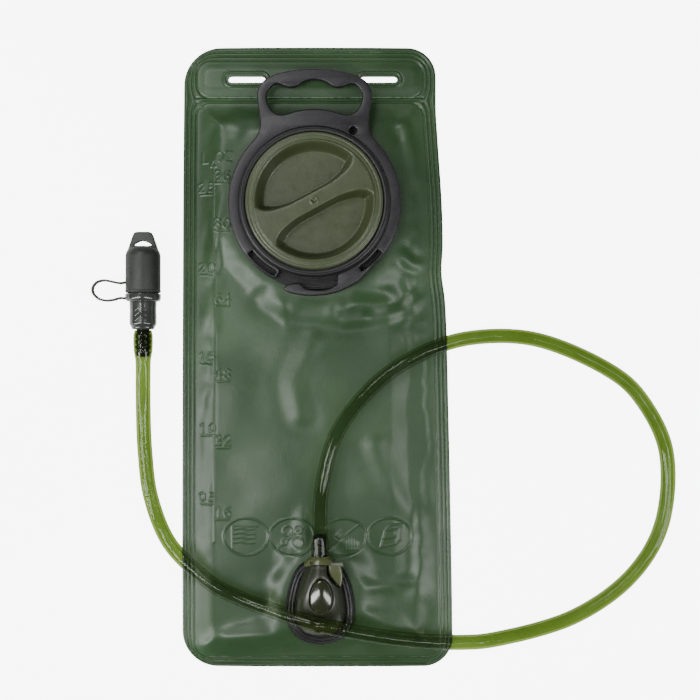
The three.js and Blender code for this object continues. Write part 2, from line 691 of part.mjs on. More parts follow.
// Domed collar round the plug, flat underneath, with an ear for the lever's pin.
function plugCollar() {
  const dome = [
    [4.1, -137.3], [8.2, -137.3], [8.2, -135.2], [7.7, -133.4], [6.6, -132], [5.4, -131.3],
    [4.1, -131.3],
  ];
  const body = solid(turnedAboutY(dome, 28, OUTLET.x, PLUG_Z));
  const below = solid(new THREE.BoxGeometry(40, 20, 10).translate(OUTLET.x, -134, 9.7 - 5));
  const ear = solid(new THREE.BoxGeometry(8.4, 2.9, 3.2).translate(11.2, -135.8, 11.5));
  const pinHole = solid(cylinderZ(LEVER_PIVOT.x, LEVER_PIVOT.y, 0.9, 5, 30, 16));
  const gripDimple = solid(cylinderZ(-1.4, -134.9, 0.8, 20, 30, 12));
  return geometryOf(subtractAll(addAll([body.subtract(below), ear]), [pinHole, gripDimple]));
}

// Thumb lever: a short crossbar over the pivot and a fin that is pressed towards the housing.
function releaseLever() {
  const shape = new THREE.Shape();
  shape.moveTo(12.2, -137.6);
  shape.lineTo(15, -137.8);
  shape.lineTo(15.4, -140.8);
  shape.quadraticCurveTo(12.6, -142.4, 12.8, -145.2);
  shape.quadraticCurveTo(14.8, -148.2, 17.6, -150.2);
  shape.quadraticCurveTo(18.8, -143, 17.2, -134);
  shape.lineTo(12.2, -134);
  shape.holes.push(new THREE.Path().absarc(LEVER_PIVOT.x, LEVER_PIVOT.y, 1.05, 0, Math.PI * 2));
  return prism(shape, 13.4, 20.4, 6);
}

const leverPin = () => cylinderZ(LEVER_PIVOT.x, LEVER_PIVOT.y, 0.8, 10.2, 20.8, 16);

// ---------------------------------------------------------------- hose

// The hose leaves the outlet towards the top, sweeps right over the pouch to the ground, comes back
// over the outlet housing and runs up the left side. Points are [x, y, z] of its centreline.
const HOSE_PATH = [
  [3.6, -131, 16.5], [3.6, -124, 16.5], [3.6, -116.5, 16.4], [4.6, -89, 12.6], [14.7, -51, 12.4],
  [41.7, -17.4, 12.4], [72.6, 2.2, 11.3], [104, 11.4, 6.2], [147, 10.1, 5.15], [199.6, -13.2, 4.97],
  [216.5, -29.9, 4.95], [232.3, -63, 4.95], [229.3, -112.7, 4.95], [209.7, -145.8, 4.97],
  [171.9, -172.9, 5.12], [119, -188, 5.8], [100, -189.4, 7.6], [60, -185.6, 15.6], [5.7, -173.4, 27],
  [-10, -169.6, 25], [-28, -165.4, 18.2], [-46, -160, 13.8], [-63, -152.6, 12.4], [-76, -143.4, 11],
  [-96.3, -123.8, 6.4], [-108.4, -94.2, 5.6], [-112.5, -64, 4.95], [-113.4, -35, 6.2],
  [-112.4, -5, 11.6], [-112.4, 6, 11.7], [-112.4, 16.2, 11.7],
].map(([x, y, z]) => new THREE.Vector3(x, y, z));

// The one hose is drawn in three lengths, so that both of its ends can follow what they are pushed
// onto.
const HOSE_CURVE = new THREE.CatmullRomCurve3(HOSE_PATH, false, "centripetal");
const HOSE_CUT = 4; // path point where the length that follows the plug ends
const HOSE_PIVOT = 26; // path point where the drinking end bends upwards
const CUT_GAP = 0.3;
const BALL_GAP = 5.3; // room at the pivot for the ball end to turn

// The hose from one path point to another, stopped short of the second by a gap.
function hoseLength(from, to, gap, steps) {
  const end = to - gap / HOSE_PATH[to].distanceTo(HOSE_PATH[to - 1]);
  const stretch = new (class extends THREE.Curve {
    getPoint(t, target) {
      return HOSE_CURVE.getPoint((from + t * (end - from)) / (HOSE_PATH.length - 1), target);
    }
  })();
  return pipe(stretch, HOSE_OUTER, HOSE_BORE, steps, 5);
}

const hosePlugEnd = () => hoseLength(0, HOSE_CUT, CUT_GAP, 14);
const hoseLoop = () => hoseLength(HOSE_CUT, HOSE_PIVOT, BALL_GAP, 52);

function hoseDrinkEnd() {
  const hose = solid(hoseLength(HOSE_PIVOT, HOSE_PATH.length - 1, 0, 12));
  const bore = new THREE.CylinderGeometry(HOSE_BORE, HOSE_BORE, 14, 10);
  const ball = solid(new THREE.SphereGeometry(HOSE_OUTER - 0.05, 12, 8)).subtract(solid(bore));
  return geometryOf(hose.add(ball.translate(HOSE_PATH[HOSE_PIVOT].toArray())));
}

// ---------------------------------------------------------------- bite valve

function valveStem() {
  const barb = barbRidges(0, 16.5, 4);
  return turnedAboutY(
    [
      [BARB.bore, 0], ...barb, [BARB.shank, 16.5], [5.4, 16.9], [5.4, 18.9], [4.2, 19.3],
      [4.2, 21.4], [3.3, 21.4], [3.3, 23.8], [4.2, 23.8], [4.2, 26], [BARB.bore, 26],
    ],
    16, BITE.x, BITE.z,
  );
}

// Twist shut-off body: a grip barrel with a spout that the mouthpiece is pulled over.
const shutoffSleeve = () =>
  turnedAboutY(
    [
      [5.8, 16.8], [6.6, 16.8], [8.8, 19.8], [8.8, 35.6], [8.2, 36.2], [6.2, 36.2], [6.2, 43.2],
      [5.4, 44.2], [3, 44.2], [3, 28], [4.7, 27.4], [4.7, 19.6], [5.8, 19.2],
    ],
    24, BITE.x, BITE.z,
  );

// Soft bulb over the spout, with a slit across its tip that opens when it is bitten.
function mouthpiece() {
  const profile = [
    [6.4, 37.2], [8.5, 37.2], [8.5, 40.2], [7.3, 42.2], [6.6, 50], [7.4, 57.5], [6.6, 62.6],
    [3.6, 65.4], [0, 66], [0, 63.8], [3, 63], [5, 60], [5.4, 57.5], [4.8, 50], [5, 46], [6.4, 45],
  ];
  const bulb = solid(turnedAboutY(profile, 20, BITE.x, BITE.z));
  const slit = solid(new THREE.BoxGeometry(7, 6, 0.3).translate(BITE.x, 65, BITE.z));
  return geometryOf(bulb.subtract(slit));
}

// Flat tab with a crescent window on top of the cover, for hanging it up or pulling it off.
function coverTab() {
  const tab = new THREE.Shape();
  tab.moveTo(11, 66);
  tab.lineTo(6.6, 78.6);
  tab.quadraticCurveTo(5.8, 80.8, 3.6, 80.8);
  tab.lineTo(-3.6, 80.8);
  tab.quadraticCurveTo(-5.8, 80.8, -6.6, 78.6);
  tab.lineTo(-11, 66);
  const window = new THREE.Path();
  window.moveTo(-5.6, 72);
  window.quadraticCurveTo(0, 77.6, 5.6, 72);
  window.quadraticCurveTo(0, 70.4, -5.6, 72);
  tab.holes.push(window);
  const thickness = 3.6;
  return solid(prism(tab, -thickness / 2, thickness / 2, 8).translate(BITE.x, 0, BITE.z));
}

function dustCover() {
  const outer = [
    [0, 40.7], [COVER_RADIUS, 40.7], [COVER_RADIUS, 65], [10.6, 68.4], [8.4, 70.6], [4, 71.3],
    [0, 71.3],
  ];
  const hollow = [[0, 39], [9.7, 39], [9.7, 64.6], [8, 68], [4, 69.3], [0, 69.3]];
  const shell = addAll([solid(turnedAboutY(outer, 32, BITE.x, BITE.z)), coverTab()]);
  return geometryOf(shell.subtract(solid(turnedAboutY(hollow, 24, BITE.x, BITE.z))));
}

const tetherRing = () =>
  turnedAboutY(
    [
      [9.1, 35.2], [10.6, 35.2], [COVER_RADIUS + 0.1, 36.2], [COVER_RADIUS + 0.2, 40.3],
      [9.1, 40.3],
    ],
    32, BITE.x, BITE.z,
  );

// The strap is a flat ribbon that loops out to the left between the ring and the cover.
const TETHER_PATH = [
  [-124.2, 37.1], [-127.5, 37.3], [-131.5, 36.2], [-136.6, 35.7], [-141.4, 36.9], [-144.8, 40.2],
  [-145.4, 43.8], [-142.8, 47.5], [-138.2, 48.9], [-132, 47.9], [-127.5, 47.1], [-124.2, 47.6],
].map(([x, y]) => new THREE.Vector3(x, y, 0));

function tetherStrap() {
  const [halfThickness, halfWidth] = [0.6, 1.6];
  const curve = new THREE.CatmullRomCurve3(TETHER_PATH, false, "centripetal");
  const steps = 40;
  const sections = Array.from({ length: steps + 1 }, (_, i) => {
    const at = curve.getPointAt(i / steps);
    const along = curve.getTangentAt(i / steps);
    const across = new THREE.Vector3(-along.y, along.x, 0);
    return [[1, 1], [-1, 1], [-1, -1], [1, -1]].map(([s, u]) =>
      at.clone().addScaledVector(across, s * halfThickness).setZ(BITE.z + u * halfWidth),
    );
  });
  return loft(sections);
}

// ---------------------------------------------------------------- assembly

part("back_film", backFilm(), "film");
part("front_film", frontFilm(), "film");
part("fill_port", fillPort(), "blackRubber");
part("handle_ring", handleRing(), "blackPlastic");
part("cap_gasket", capGasket(), "silicone");
part("screw_cap", screwCap(), "olivePlastic");
part("outlet_flange", outletFlange(), "blackRubber");
part("outlet_housing", outletHousing(), "housing");
part("button_spring", buttonSpring(), "steel");
part("release_button", releaseButton(), "glossyGreen");
part("valve_poppet", valvePoppet(), "khaki");
part("poppet_spring", poppetSpring(), "steel");
part("plug_stem", plugStem(), "blackPlastic");
part("plug_o_ring", oRing(3.6, 0.5, -145, OUTLET.x, PLUG_Z), "blackRubber");
part("plug_collar", plugCollar(), "khaki");
part("lever_pin", leverPin(), "steel");
part("release_lever", releaseLever(), "khaki");
part("hose_plug_end", hosePlugEnd(), "hose");
part("hose_loop", hoseLoop(), "hose");
part("hose_drink_end", hoseDrinkEnd(), "hose");
part("valve_stem", valveStem(), "blackPlastic");
part("stem_o_ring", oRing(3.95, 0.5, 22.6, BITE.x, BITE.z), "blackRubber");
part("shutoff_sleeve", shutoffSleeve(), "valveGrey");
part("mouthpiece", mouthpiece(), "silicone");
part("tether_ring", tetherRing(), "valveGrey");
part("tether_strap", tetherStrap(), "valveGrey");
part("dust_cover", dustCover(), "valveGrey");

export default reservoir;
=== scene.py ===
"""The looks of a hydration bladder that lies flat, its hose looped out to the right and back to the left.

Lengths are in millimetres until a mesh is made. Pieces are placed from the boxes of the CAD nodes, and the
hose follows the path of the CAD hose.
"""

import math

import bmesh
import bpy
import numpy as np
from mathutils import Matrix, Vector, geometry


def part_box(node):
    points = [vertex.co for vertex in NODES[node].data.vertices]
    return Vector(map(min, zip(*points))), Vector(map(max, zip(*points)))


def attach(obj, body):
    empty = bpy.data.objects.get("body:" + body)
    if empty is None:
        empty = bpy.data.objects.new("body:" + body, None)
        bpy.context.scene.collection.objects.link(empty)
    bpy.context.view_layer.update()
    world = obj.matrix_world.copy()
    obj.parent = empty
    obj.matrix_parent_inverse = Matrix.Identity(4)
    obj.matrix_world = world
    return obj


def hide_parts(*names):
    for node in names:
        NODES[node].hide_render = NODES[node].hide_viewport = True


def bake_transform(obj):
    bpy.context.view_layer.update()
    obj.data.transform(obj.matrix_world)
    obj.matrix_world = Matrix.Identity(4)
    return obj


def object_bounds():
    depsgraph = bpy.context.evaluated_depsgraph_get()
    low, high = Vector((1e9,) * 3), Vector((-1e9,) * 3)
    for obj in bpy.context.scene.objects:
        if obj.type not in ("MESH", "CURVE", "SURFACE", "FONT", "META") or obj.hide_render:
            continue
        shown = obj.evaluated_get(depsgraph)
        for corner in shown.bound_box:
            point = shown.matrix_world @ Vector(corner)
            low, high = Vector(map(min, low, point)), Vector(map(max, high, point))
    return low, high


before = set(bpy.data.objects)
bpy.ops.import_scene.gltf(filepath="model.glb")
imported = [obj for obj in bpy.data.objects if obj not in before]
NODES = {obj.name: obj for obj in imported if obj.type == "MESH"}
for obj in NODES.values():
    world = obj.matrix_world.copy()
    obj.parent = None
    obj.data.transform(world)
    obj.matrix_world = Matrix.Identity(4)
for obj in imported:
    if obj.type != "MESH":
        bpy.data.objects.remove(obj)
CAD_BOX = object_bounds()
METRES = 0.001


def box_mm(node):
    low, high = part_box(node)
    return np.array(low) / METRES, np.array(high) / METRES


def middle(node):
    low, high = box_mm(node)
    return (low + high) / 2


# ---------------------------------------------------------------- places taken from the frame

FILM_LOW, FILM_HIGH = box_mm("front_film")
BACK_LOW, BACK_HIGH = box_mm("back_film")
PORT = middle("fill_port")
PORT_LOW, PORT_HIGH = box_mm("fill_port")
CAP_LOW, CAP_HIGH = box_mm("screw_cap")
CAP_RADIUS = (CAP_HIGH - CAP_LOW)[0] / 2
HANDLE_LOW, HANDLE_HIGH = box_mm("handle_ring")
FLANGE_LOW, FLANGE_HIGH = box_mm("outlet_flange")
HOUSING_LOW, HOUSING_HIGH = box_mm("outlet_housing")
BUTTON_LOW, BUTTON_HIGH = box_mm("release_button")
PLUG = middle("plug_stem")
COLLAR_LOW, COLLAR_HIGH = box_mm("plug_collar")
BITE = middle("valve_stem")
SLEEVE_LOW, SLEEVE_HIGH = box_mm("shutoff_sleeve")
COVER_LOW, COVER_HIGH = box_mm("dust_cover")
RING_LOW, RING_HIGH = box_mm("tether_ring")

FILM = BACK_HIGH[2]  # thickness of one film
WELD_TOP = FILM_LOW[2] + FILM  # top of the front film at its weld
FILM_TOP = FILM_HIGH[2]  # top of the front film where it carries the ports


# ---------------------------------------------------------------- small maths


def smoothstep(t):
    t = np.clip(t, 0.0, 1.0)
    return t * t * (3 - 2 * t)


def bell(d, width):
    """A ridge's section: 1 at its middle and about 0.37 at a distance of width."""
    return np.exp(-((d / width) ** 2))


def spline(points, steps, closed=False):
    """A centripetal Catmull-Rom curve through the points, with a number of steps between each two."""
    p = np.array(points, float)
    p = np.vstack([p[-1], p, p[0], p[1]]) if closed else np.vstack([2 * p[0] - p[1], p, 2 * p[-1] - p[-2]])
    out = []
    for a, b, c, d in zip(p, p[1:], p[2:], p[3:]):
        t1 = max(np.linalg.norm(b - a), 1e-9) ** 0.5
        t2 = t1 + max(np.linalg.norm(c - b), 1e-9) ** 0.5
        t3 = t2 + max(np.linalg.norm(d - c), 1e-9) ** 0.5
        for t in t1 + (t2 - t1) * np.arange(steps) / steps:
            ab = a * (t1 - t) / t1 + b * t / t1
            bc = b * (t2 - t) / (t2 - t1) + c * (t - t1) / (t2 - t1)
            cd = c * (t3 - t) / (t3 - t2) + d * (t - t2) / (t3 - t2)
            abc = ab * (t2 - t) / t2 + bc * t / t2
            bcd = bc * (t3 - t) / (t3 - t1) + cd * (t - t1) / (t3 - t1)
            out.append(abc * (t2 - t) / (t2 - t1) + bcd * (t - t1) / (t2 - t1))
    if not closed:
        out.append(p[-2])
    return np.array(out)


def even_steps(points, step, closed=False):
    """The same polyline with points about one step apart."""
    p = np.vstack([points, points[:1]]) if closed else np.array(points)
    along = np.concatenate([[0], np.cumsum(np.linalg.norm(np.diff(p, axis=0), axis=1))])
    count = max(2, round(along[-1] / step))
    at = np.linspace(0, along[-1], count + 1)
    if closed:
        at = at[:-1]
    return np.stack([np.interp(at, along, p[:, k]) for k in range(p.shape[1])], 1)


def distance_to(points, line, closed=True, reach=30.0):
    """Distance of each 2D point from a polyline, or reach where it is farther."""
    a = np.array(line, float)
    b = np.roll(a, -1, axis=0) if closed else a[1:]
    a = a if closed else a[:-1]
    best = np.full(len(points), reach)
    order = np.argsort(points[:, 1], kind="stable")
    for start in range(0, len(points), 1500):
        rows = order[start : start + 1500]
        p = points[rows]
        low, high = p.min(0) - reach, p.max(0) + reach
        near = (np.maximum(a, b) > low).all(1) & (np.minimum(a, b) < high).all(1)
        if not near.any():
            continue
        ab = (b - a)[near]
        from_a = p[:, None, :] - a[near][None]
        t = np.clip((from_a * ab).sum(2) / np.maximum((ab**2).sum(1), 1e-12), 0, 1)
        gap = from_a - t[..., None] * ab
        best[rows] = np.minimum(np.sqrt((gap**2).sum(2).min(1)), reach)
    return best


def inside(points, loop):
    """True for each 2D point inside a closed polyline."""
    order = np.argsort(points[:, 1], kind="stable")
    xs, ys = points[order, 0], points[order, 1]
    within = np.zeros(len(points), bool)
    a = np.array(loop, float)
    b = np.roll(a, -1, axis=0)
    firsts = np.searchsorted(ys, np.minimum(a[:, 1], b[:, 1]), side="right")
    lasts = np.searchsorted(ys, np.maximum(a[:, 1], b[:, 1]), side="right")
    for (x0, y0), (x1, y1), i, j in zip(a, b, firsts, lasts):
        if j > i:
            within[i:j] ^= xs[i:j] < x0 + (ys[i:j] - y0) * (x1 - x0) / (y1 - y0)
    result = np.zeros(len(points), bool)
    result[order] = within
    return result


def signed_distance(points, loop):
    """Distance from a closed polyline, positive inside it."""
    return np.where(inside(points, loop), 1, -1) * distance_to(points, loop)


def waves(x, y, seed, scale, count=14):
    """Smooth random ups and downs about scale apart, between roughly -1 and 1."""
    rng = np.random.default_rng(seed)
    total = np.zeros_like(x)
    for _ in range(count):
        angle, phase = rng.uniform(0, 2 * np.pi, 2)
        k = 2 * np.pi / (scale * rng.uniform(0.7, 1.8))
        total += np.sin(k * (x * np.cos(angle) + y * np.sin(angle)) + phase)
    return total / math.sqrt(count)


# ---------------------------------------------------------------- mesh helpers


def added(name, data):
    """A new object in the scene that shows this data."""
    piece = bpy.data.objects.new(name, data)
    bpy.context.scene.collection.objects.link(piece)
    return piece


def mesh_object(name, verts, faces):
    """A smooth mesh object from millimetre points."""
    mesh = bpy.data.meshes.new(name)
    mesh.from_pydata((np.array(verts, float) * METRES).tolist(), [], [list(map(int, f)) for f in faces])
    mesh.validate()
    mesh.update()
    mesh.shade_smooth()
    return added(name, mesh)


def sharp_edges(piece, degrees):
    """Smooth shading that breaks where faces meet at more than this angle."""
    bpy.context.view_layer.objects.active = piece
    piece.select_set(True)
    bpy.ops.object.shade_smooth_by_angle(angle=math.radians(degrees))
    piece.select_set(False)


def apply_modifiers(piece):
    graph = bpy.context.evaluated_depsgraph_get()
    mesh = bpy.data.meshes.new_from_object(piece.evaluated_get(graph))
    piece.modifiers.clear()
    piece.data = mesh


def round_edges(piece, width):
    """Rounds a piece's edges off with a modifier."""
    bevel = piece.modifiers.new("Rounded edges", "BEVEL")
    bevel.width = width * METRES
    bevel.segments = 2
    bevel.limit_method = "ANGLE"
    bevel.angle_limit = math.radians(30)
    bevel.harden_normals = True


def cut_away(piece, cutter):
    """Takes a cutter's volume out of a piece and removes the cutter."""
    cut = piece.modifiers.new("Cut", "BOOLEAN")
    cut.operation = "DIFFERENCE"
    cut.solver = "EXACT"
    cut.object = cutter
    apply_modifiers(piece)
    bpy.data.objects.remove(cutter)


def ring_faces(rings, count, closed_rows=False):
    """Quads between rings of count points each, in order."""
    faces = []
    last = rings if closed_rows else rings - 1
    for r in range(last):
        low, high = r * count, ((r + 1) % rings) * count
        for i in range(count):
            j = (i + 1) % count
            faces.append((low + i, low + j, high + j, high + i))
    return faces


def turned(name, profile, axis, centre, segments=96, smooth_angle=35):
    """A profile of (radius, height) pairs turned about an axis through centre. It is closed off the axis."""
    angles = np.arange(segments) * 2 * np.pi / segments
    on_axis = profile[0][0] == 0 and profile[-1][0] == 0
    rows = profile[1:-1] if on_axis else profile
    verts = []
    for r, h in rows:
        flat = np.stack([r * np.cos(angles), r * np.sin(angles), np.full(segments, float(h))], 1)
        verts.extend(flat)
    faces = ring_faces(len(rows), segments, closed_rows=not on_axis)
    if on_axis:
        first, last = len(verts), len(verts) + 1
        verts.extend([(0, 0, profile[0][1]), (0, 0, profile[-1][1])])
        top = (len(rows) - 1) * segments
        for i in range(segments):
            j = (i + 1) % segments
            faces.append((first, j, i))
            faces.append((last, top + i, top + j))
    verts = np.array(verts, float)
    if axis == "Y":
        verts = verts[:, [0, 2, 1]]
    return closed_body(mesh_object(name, verts + np.array(centre), faces), smooth_angle)


def face_outwards(piece, merge=0.0):
    """Turns every face outwards, once points nearer to each other than merge are joined."""
    bm = bmesh.new()
    bm.from_mesh(piece.data)
    if merge:
        bmesh.ops.remove_doubles(bm, verts=bm.verts, dist=merge)
    bmesh.ops.recalc_face_normals(bm, faces=bm.faces)
    bm.to_mesh(piece.data)
    bm.free()


def closed_body(piece, smooth_angle):
    """Turns a closed body's faces outwards and keeps the edges sharper than the angle."""
    face_outwards(piece)
    sharp_edges(piece, smooth_angle)
    return piece


def soft_profile(points, radius, steps=4):
    """A profile with each inner corner rounded by up to radius."""
    p = [np.array(q, float) for q in points]
    out = [p[0]]
    for before, corner, after in zip(p, p[1:], p[2:]):
        reach = min(radius, np.linalg.norm(before - corner) * 0.45, np.linalg.norm(after - corner) * 0.45)
        start = corner + (before - corner) / max(np.linalg.norm(before - corner), 1e-9) * reach
        end = corner + (after - corner) / max(np.linalg.norm(after - corner), 1e-9) * reach
        for t in np.linspace(0, 1, steps + 1):
            out.append((1 - t) ** 2 * start + 2 * t * (1 - t) * corner + t**2 * end)
    out.append(p[-1])
    return [tuple(q) for q in out]


def tube(name, centreline, outer, bore, sides=40, open_ends=()):
    """A hollow tube along a centreline. outer and bore are radii or one radius per point."""
    line = np.array(centreline, float)
    n = len(line)
    outer = np.broadcast_to(outer, n)
    bore = np.broadcast_to(bore, n)
    tangent = np.gradient(line, axis=0)
    tangent /= np.linalg.norm(tangent, axis=1)[:, None]
    side = np.cross(tangent[0], (0, 0, 1))
    side /= np.linalg.norm(side)
    angles = np.arange(sides) * 2 * np.pi / sides
    shells = {"outer": [], "inner": []}
    for i in range(n):
        side = side - tangent[i] * (side @ tangent[i])
        side /= np.linalg.norm(side)
        up = np.cross(side, tangent[i])
        ring = np.cos(angles)[:, None] * side + np.sin(angles)[:, None] * up
        shells["outer"].extend(line[i] + ring * outer[i])
        shells["inner"].extend(line[i] + ring * bore[i])
    verts = shells["outer"] + shells["inner"]
    quads = ring_faces(n, sides)
    base = n * sides
    faces = [f[::-1] for f in quads] + [tuple(base + k for k in f) for f in quads]
    for end, row in (("start", 0), ("end", (n - 1) * sides)):
        if end in open_ends:
            continue
        for i in range(sides):
            j = (i + 1) % sides
            face = (row + i, row + j, base + row + j, base + row + i)
            faces.append(face if end == "start" else face[::-1])
    return mesh_object(name, verts, faces)


def boundary_loops(node, level):
    """The closed outlines of a CAD node's flat face at the height given, in millimetres, longest first."""
    mesh = NODES[node].data
    co = np.array([v.co for v in mesh.vertices]) / METRES
    key = {}
    ident = [key.setdefault(tuple(np.round(c, 3)), len(key)) for c in co]
    place = {ident[i]: co[i] for i in range(len(co))}
    edges = set()
    for face in mesh.polygons:
        ids = [ident[v] for v in face.vertices]
        if all(abs(place[k][2] - level) < 1e-3 for k in ids):
            for a, b in zip(ids, ids[1:] + ids[:1]):
                if (b, a) in edges:
                    edges.remove((b, a))
                else:
                    edges.add((a, b))
    follow = dict(edges)
    loops = []
    while follow:
        start, current = follow.popitem()
        loop = [start]
        while current != start:
            loop.append(current)
            current = follow.pop(current)
        loops.append(np.array([place[k][:2] for k in loop]))
    return sorted(loops, key=lambda q: -np.ptp(q[:, 1]) - np.ptp(q[:, 0]))


def plate(name, loops, low, high, edge, segments=4, inset=0.0):
    """A plate with rounded edges between two heights. The outlines are inset from its widest extent."""
    curve = bpy.data.curves.new(name, "CURVE")
    curve.dimensions = "2D"
    curve.fill_mode = "BOTH"
    curve.extrude = ((high - low) / 2 - edge) * METRES
    curve.bevel_depth = edge * METRES
    curve.bevel_resolution = segments
    curve.offset = (inset - edge) * METRES
    for loop in loops:
        poly = curve.splines.new("POLY")
        poly.points.add(len(loop) - 1)
        flat = np.hstack([loop * METRES, np.zeros((len(loop), 1)), np.ones((len(loop), 1))])
        poly.points.foreach_set("co", flat.ravel())
        poly.use_cyclic_u = True
    holder = added(name + "_curve", curve)
    bpy.context.view_layer.update()
    graph = bpy.context.evaluated_depsgraph_get()
    mesh = bpy.data.meshes.new_from_object(holder.evaluated_get(graph))
    bpy.data.objects.remove(holder)
    mesh.transform(Matrix.Translation((0, 0, (low + high) / 2 * METRES)))
    piece = added(name, mesh)
    face_outwards(piece, 1e-6)
    sharp_edges(piece, 40)
    return piece


def between(points, outline, holes=(), gap=0.0, hole_gap=None):
    """The points inside an outline and outside the holes, and farther than gap from their edges."""
    keep = inside(points, outline) & (distance_to(points, outline) > gap)
    for hole in holes:
        keep &= ~inside(points, hole) & (distance_to(points, hole) > (gap if hole_gap is None else hole_gap))
    return points[keep]


def level(height):
    """A flat surface at a height, for relief."""
    return lambda points: np.full(len(points), height)


def lattice(low, high, step, seed):
    """Points of a triangular lattice over a rectangle, each moved a little."""
    rng = np.random.default_rng(seed)
    ys = np.arange(low[1], high[1], step * 0.866)
    xs = np.arange(low[0], high[0], step)
    grid = np.stack(np.meshgrid(xs, ys), -1)
    grid[1::2, :, 0] += step / 2
    points = grid.reshape(-1, 2)
    return points + rng.uniform(-0.12, 0.12, points.shape) * step


def filled(loops, points):
    """Triangles over the area inside the first loop and outside the others, with these inner points."""
    verts = [q for loop in loops for q in loop]
    edges = []
    base = 0
    for loop in loops:
        n = len(loop)
        edges.extend((base + i, base + (i + 1) % n) for i in range(n))
        base += n
    every = np.vstack([np.array(verts), points])
    out = geometry.delaunay_2d_cdt([Vector(q) for q in every.tolist()], edges, [], 0, 1e-7)
    flat = np.array([tuple(v) for v in out[0]])
    faces = np.array(out[2])
    centres = flat[faces].mean(1)
    keep = inside(centres, loops[0])
    for hole in loops[1:]:
        keep &= ~inside(centres, hole)
    faces = faces[keep]
    a, b, c = (flat[faces[:, k]] for k in range(3))
    turn = np.cross(b - a, c - a)
    faces[turn < 0] = faces[turn < 0][:, ::-1]
    return flat, faces


def relief(name, loops, top_points, under_points, top_height, under_height):
    """A closed body between two heights over the same outline, each with inner points of its own."""
    top, top_faces = filled(loops, top_points)
    under, under_faces = filled(loops, under_points)
    top = np.column_stack([top, top_height(top)])
    under = np.column_stack([under, under_height(under)])
    faces = top_faces.tolist() + (under_faces[:, ::-1] + len(top)).tolist()
    base = 0
    for loop in loops:
        n = len(loop)
        for i in range(n):
            j = (i + 1) % n
            faces.append((base + i, len(top) + base + i, len(top) + base + j, base + j))
        base += n
    return closed_body(mesh_object(name, np.vstack([top, under]), faces), 50)


# ---------------------------------------------------------------- materials


class Recipe:
    """A node material built step by step."""

    def __init__(self, name):
        self.material = bpy.data.materials.new(name)
        self.material.use_nodes = True
        self.tree = self.material.node_tree
        self.shader = self.tree.nodes["Principled BSDF"]
        self.out = self.tree.nodes["Material Output"]
        self.place = self.add("ShaderNodeTexCoord").outputs["Object"]

    def add(self, kind, **settings):
        node = self.tree.nodes.new(kind)
        for key, value in settings.items():
            setattr(node, key, value)
        return node

    def link(self, source, target):
        self.tree.links.new(source, target)

    def noise(self, scale, detail=4, roughness=0.55, distortion=0.0):
        node = self.add("ShaderNodeTexNoise")
        self.link(self.place, node.inputs["Vector"])
        node.inputs["Scale"].default_value = scale
        node.inputs["Detail"].default_value = detail
        node.inputs["Roughness"].default_value = roughness
        node.inputs["Distortion"].default_value = distortion
        return node.outputs["Fac"]

    def ramp(self, source, stops):
        """A colour ramp; stops are (position, colour) with a grey number or an RGB triple."""
        node = self.add("ShaderNodeValToRGB")
        self.link(source, node.inputs["Fac"])
        bar = node.color_ramp.elements
        while len(bar) < len(stops):
            bar.new(0.5)
        for element, (position, colour) in zip(bar, stops):
            element.position = position
            rgb = (colour,) * 3 if isinstance(colour, (int, float)) else colour
            element.color = (*rgb, 1)
        return node.outputs["Color"]

    def spread(self, source, low, high, low_in=0.3, high_in=0.7):
        """A number that goes from low to high as the source goes from low_in to high_in."""
        node = self.add("ShaderNodeMapRange")
        self.link(source, node.inputs["Value"])
        node.inputs["From Min"].default_value = low_in
        node.inputs["From Max"].default_value = high_in
        node.inputs["To Min"].default_value = low
        node.inputs["To Max"].default_value = high
        return node.outputs["Result"]

    def mix(self, factor, a, b, kind="MIX"):
        node = self.add("ShaderNodeMix", data_type="RGBA", blend_type=kind)
        if isinstance(factor, float):
            node.inputs[0].default_value = factor
        else:
            self.link(factor, node.inputs[0])
        for socket, value in ((node.inputs[6], a), (node.inputs[7], b)):
            if isinstance(value, tuple):
                socket.default_value = (*value, 1)
            else:
                self.link(value, socket)
        return node.outputs[2]

    def bump(self, source, height, below=None):
        """Adds relief of a height in millimetres."""
        node = self.add("ShaderNodeBump")
        node.inputs["Strength"].default_value = 1.0
        node.inputs["Distance"].default_value = height * METRES
        self.link(source, node.inputs["Height"])
        if below is not None:
            self.link(below, node.inputs["Normal"])
        return node.outputs["Normal"]

    def edges(self, radius=0.6):
        """A share that is 1 on the convex edges, where a material puts its edge tone: painted highlight with
        some wear on most, painted shade on the handle.
        """
        bevel = self.add("ShaderNodeBevel", samples=4)
        bevel.inputs["Radius"].default_value = radius * METRES
        normal = self.add("ShaderNodeNewGeometry").outputs["Normal"]
        dot = self.add("ShaderNodeVectorMath", operation="DOT_PRODUCT")
        self.link(bevel.outputs["Normal"], dot.inputs[0])
        self.link(normal, dot.inputs[1])
        return self.spread(dot.outputs["Value"], 1.0, 0.0, 0.86, 0.995)

    def set(self, **values):
        for key, value in values.items():
            socket = self.shader.inputs[key.replace("_", " ")]
            if hasattr(value, "is_linked"):
                self.link(value, socket)
            else:
                socket.default_value = value
        return self


def srgb(r, g, b):
    """A colour given as 0 to 255 display values."""
    return tuple(((c / 255 + 0.055) / 1.055) ** 2.4 if c > 10 else c / 255 / 12.92 for c in (r, g, b))


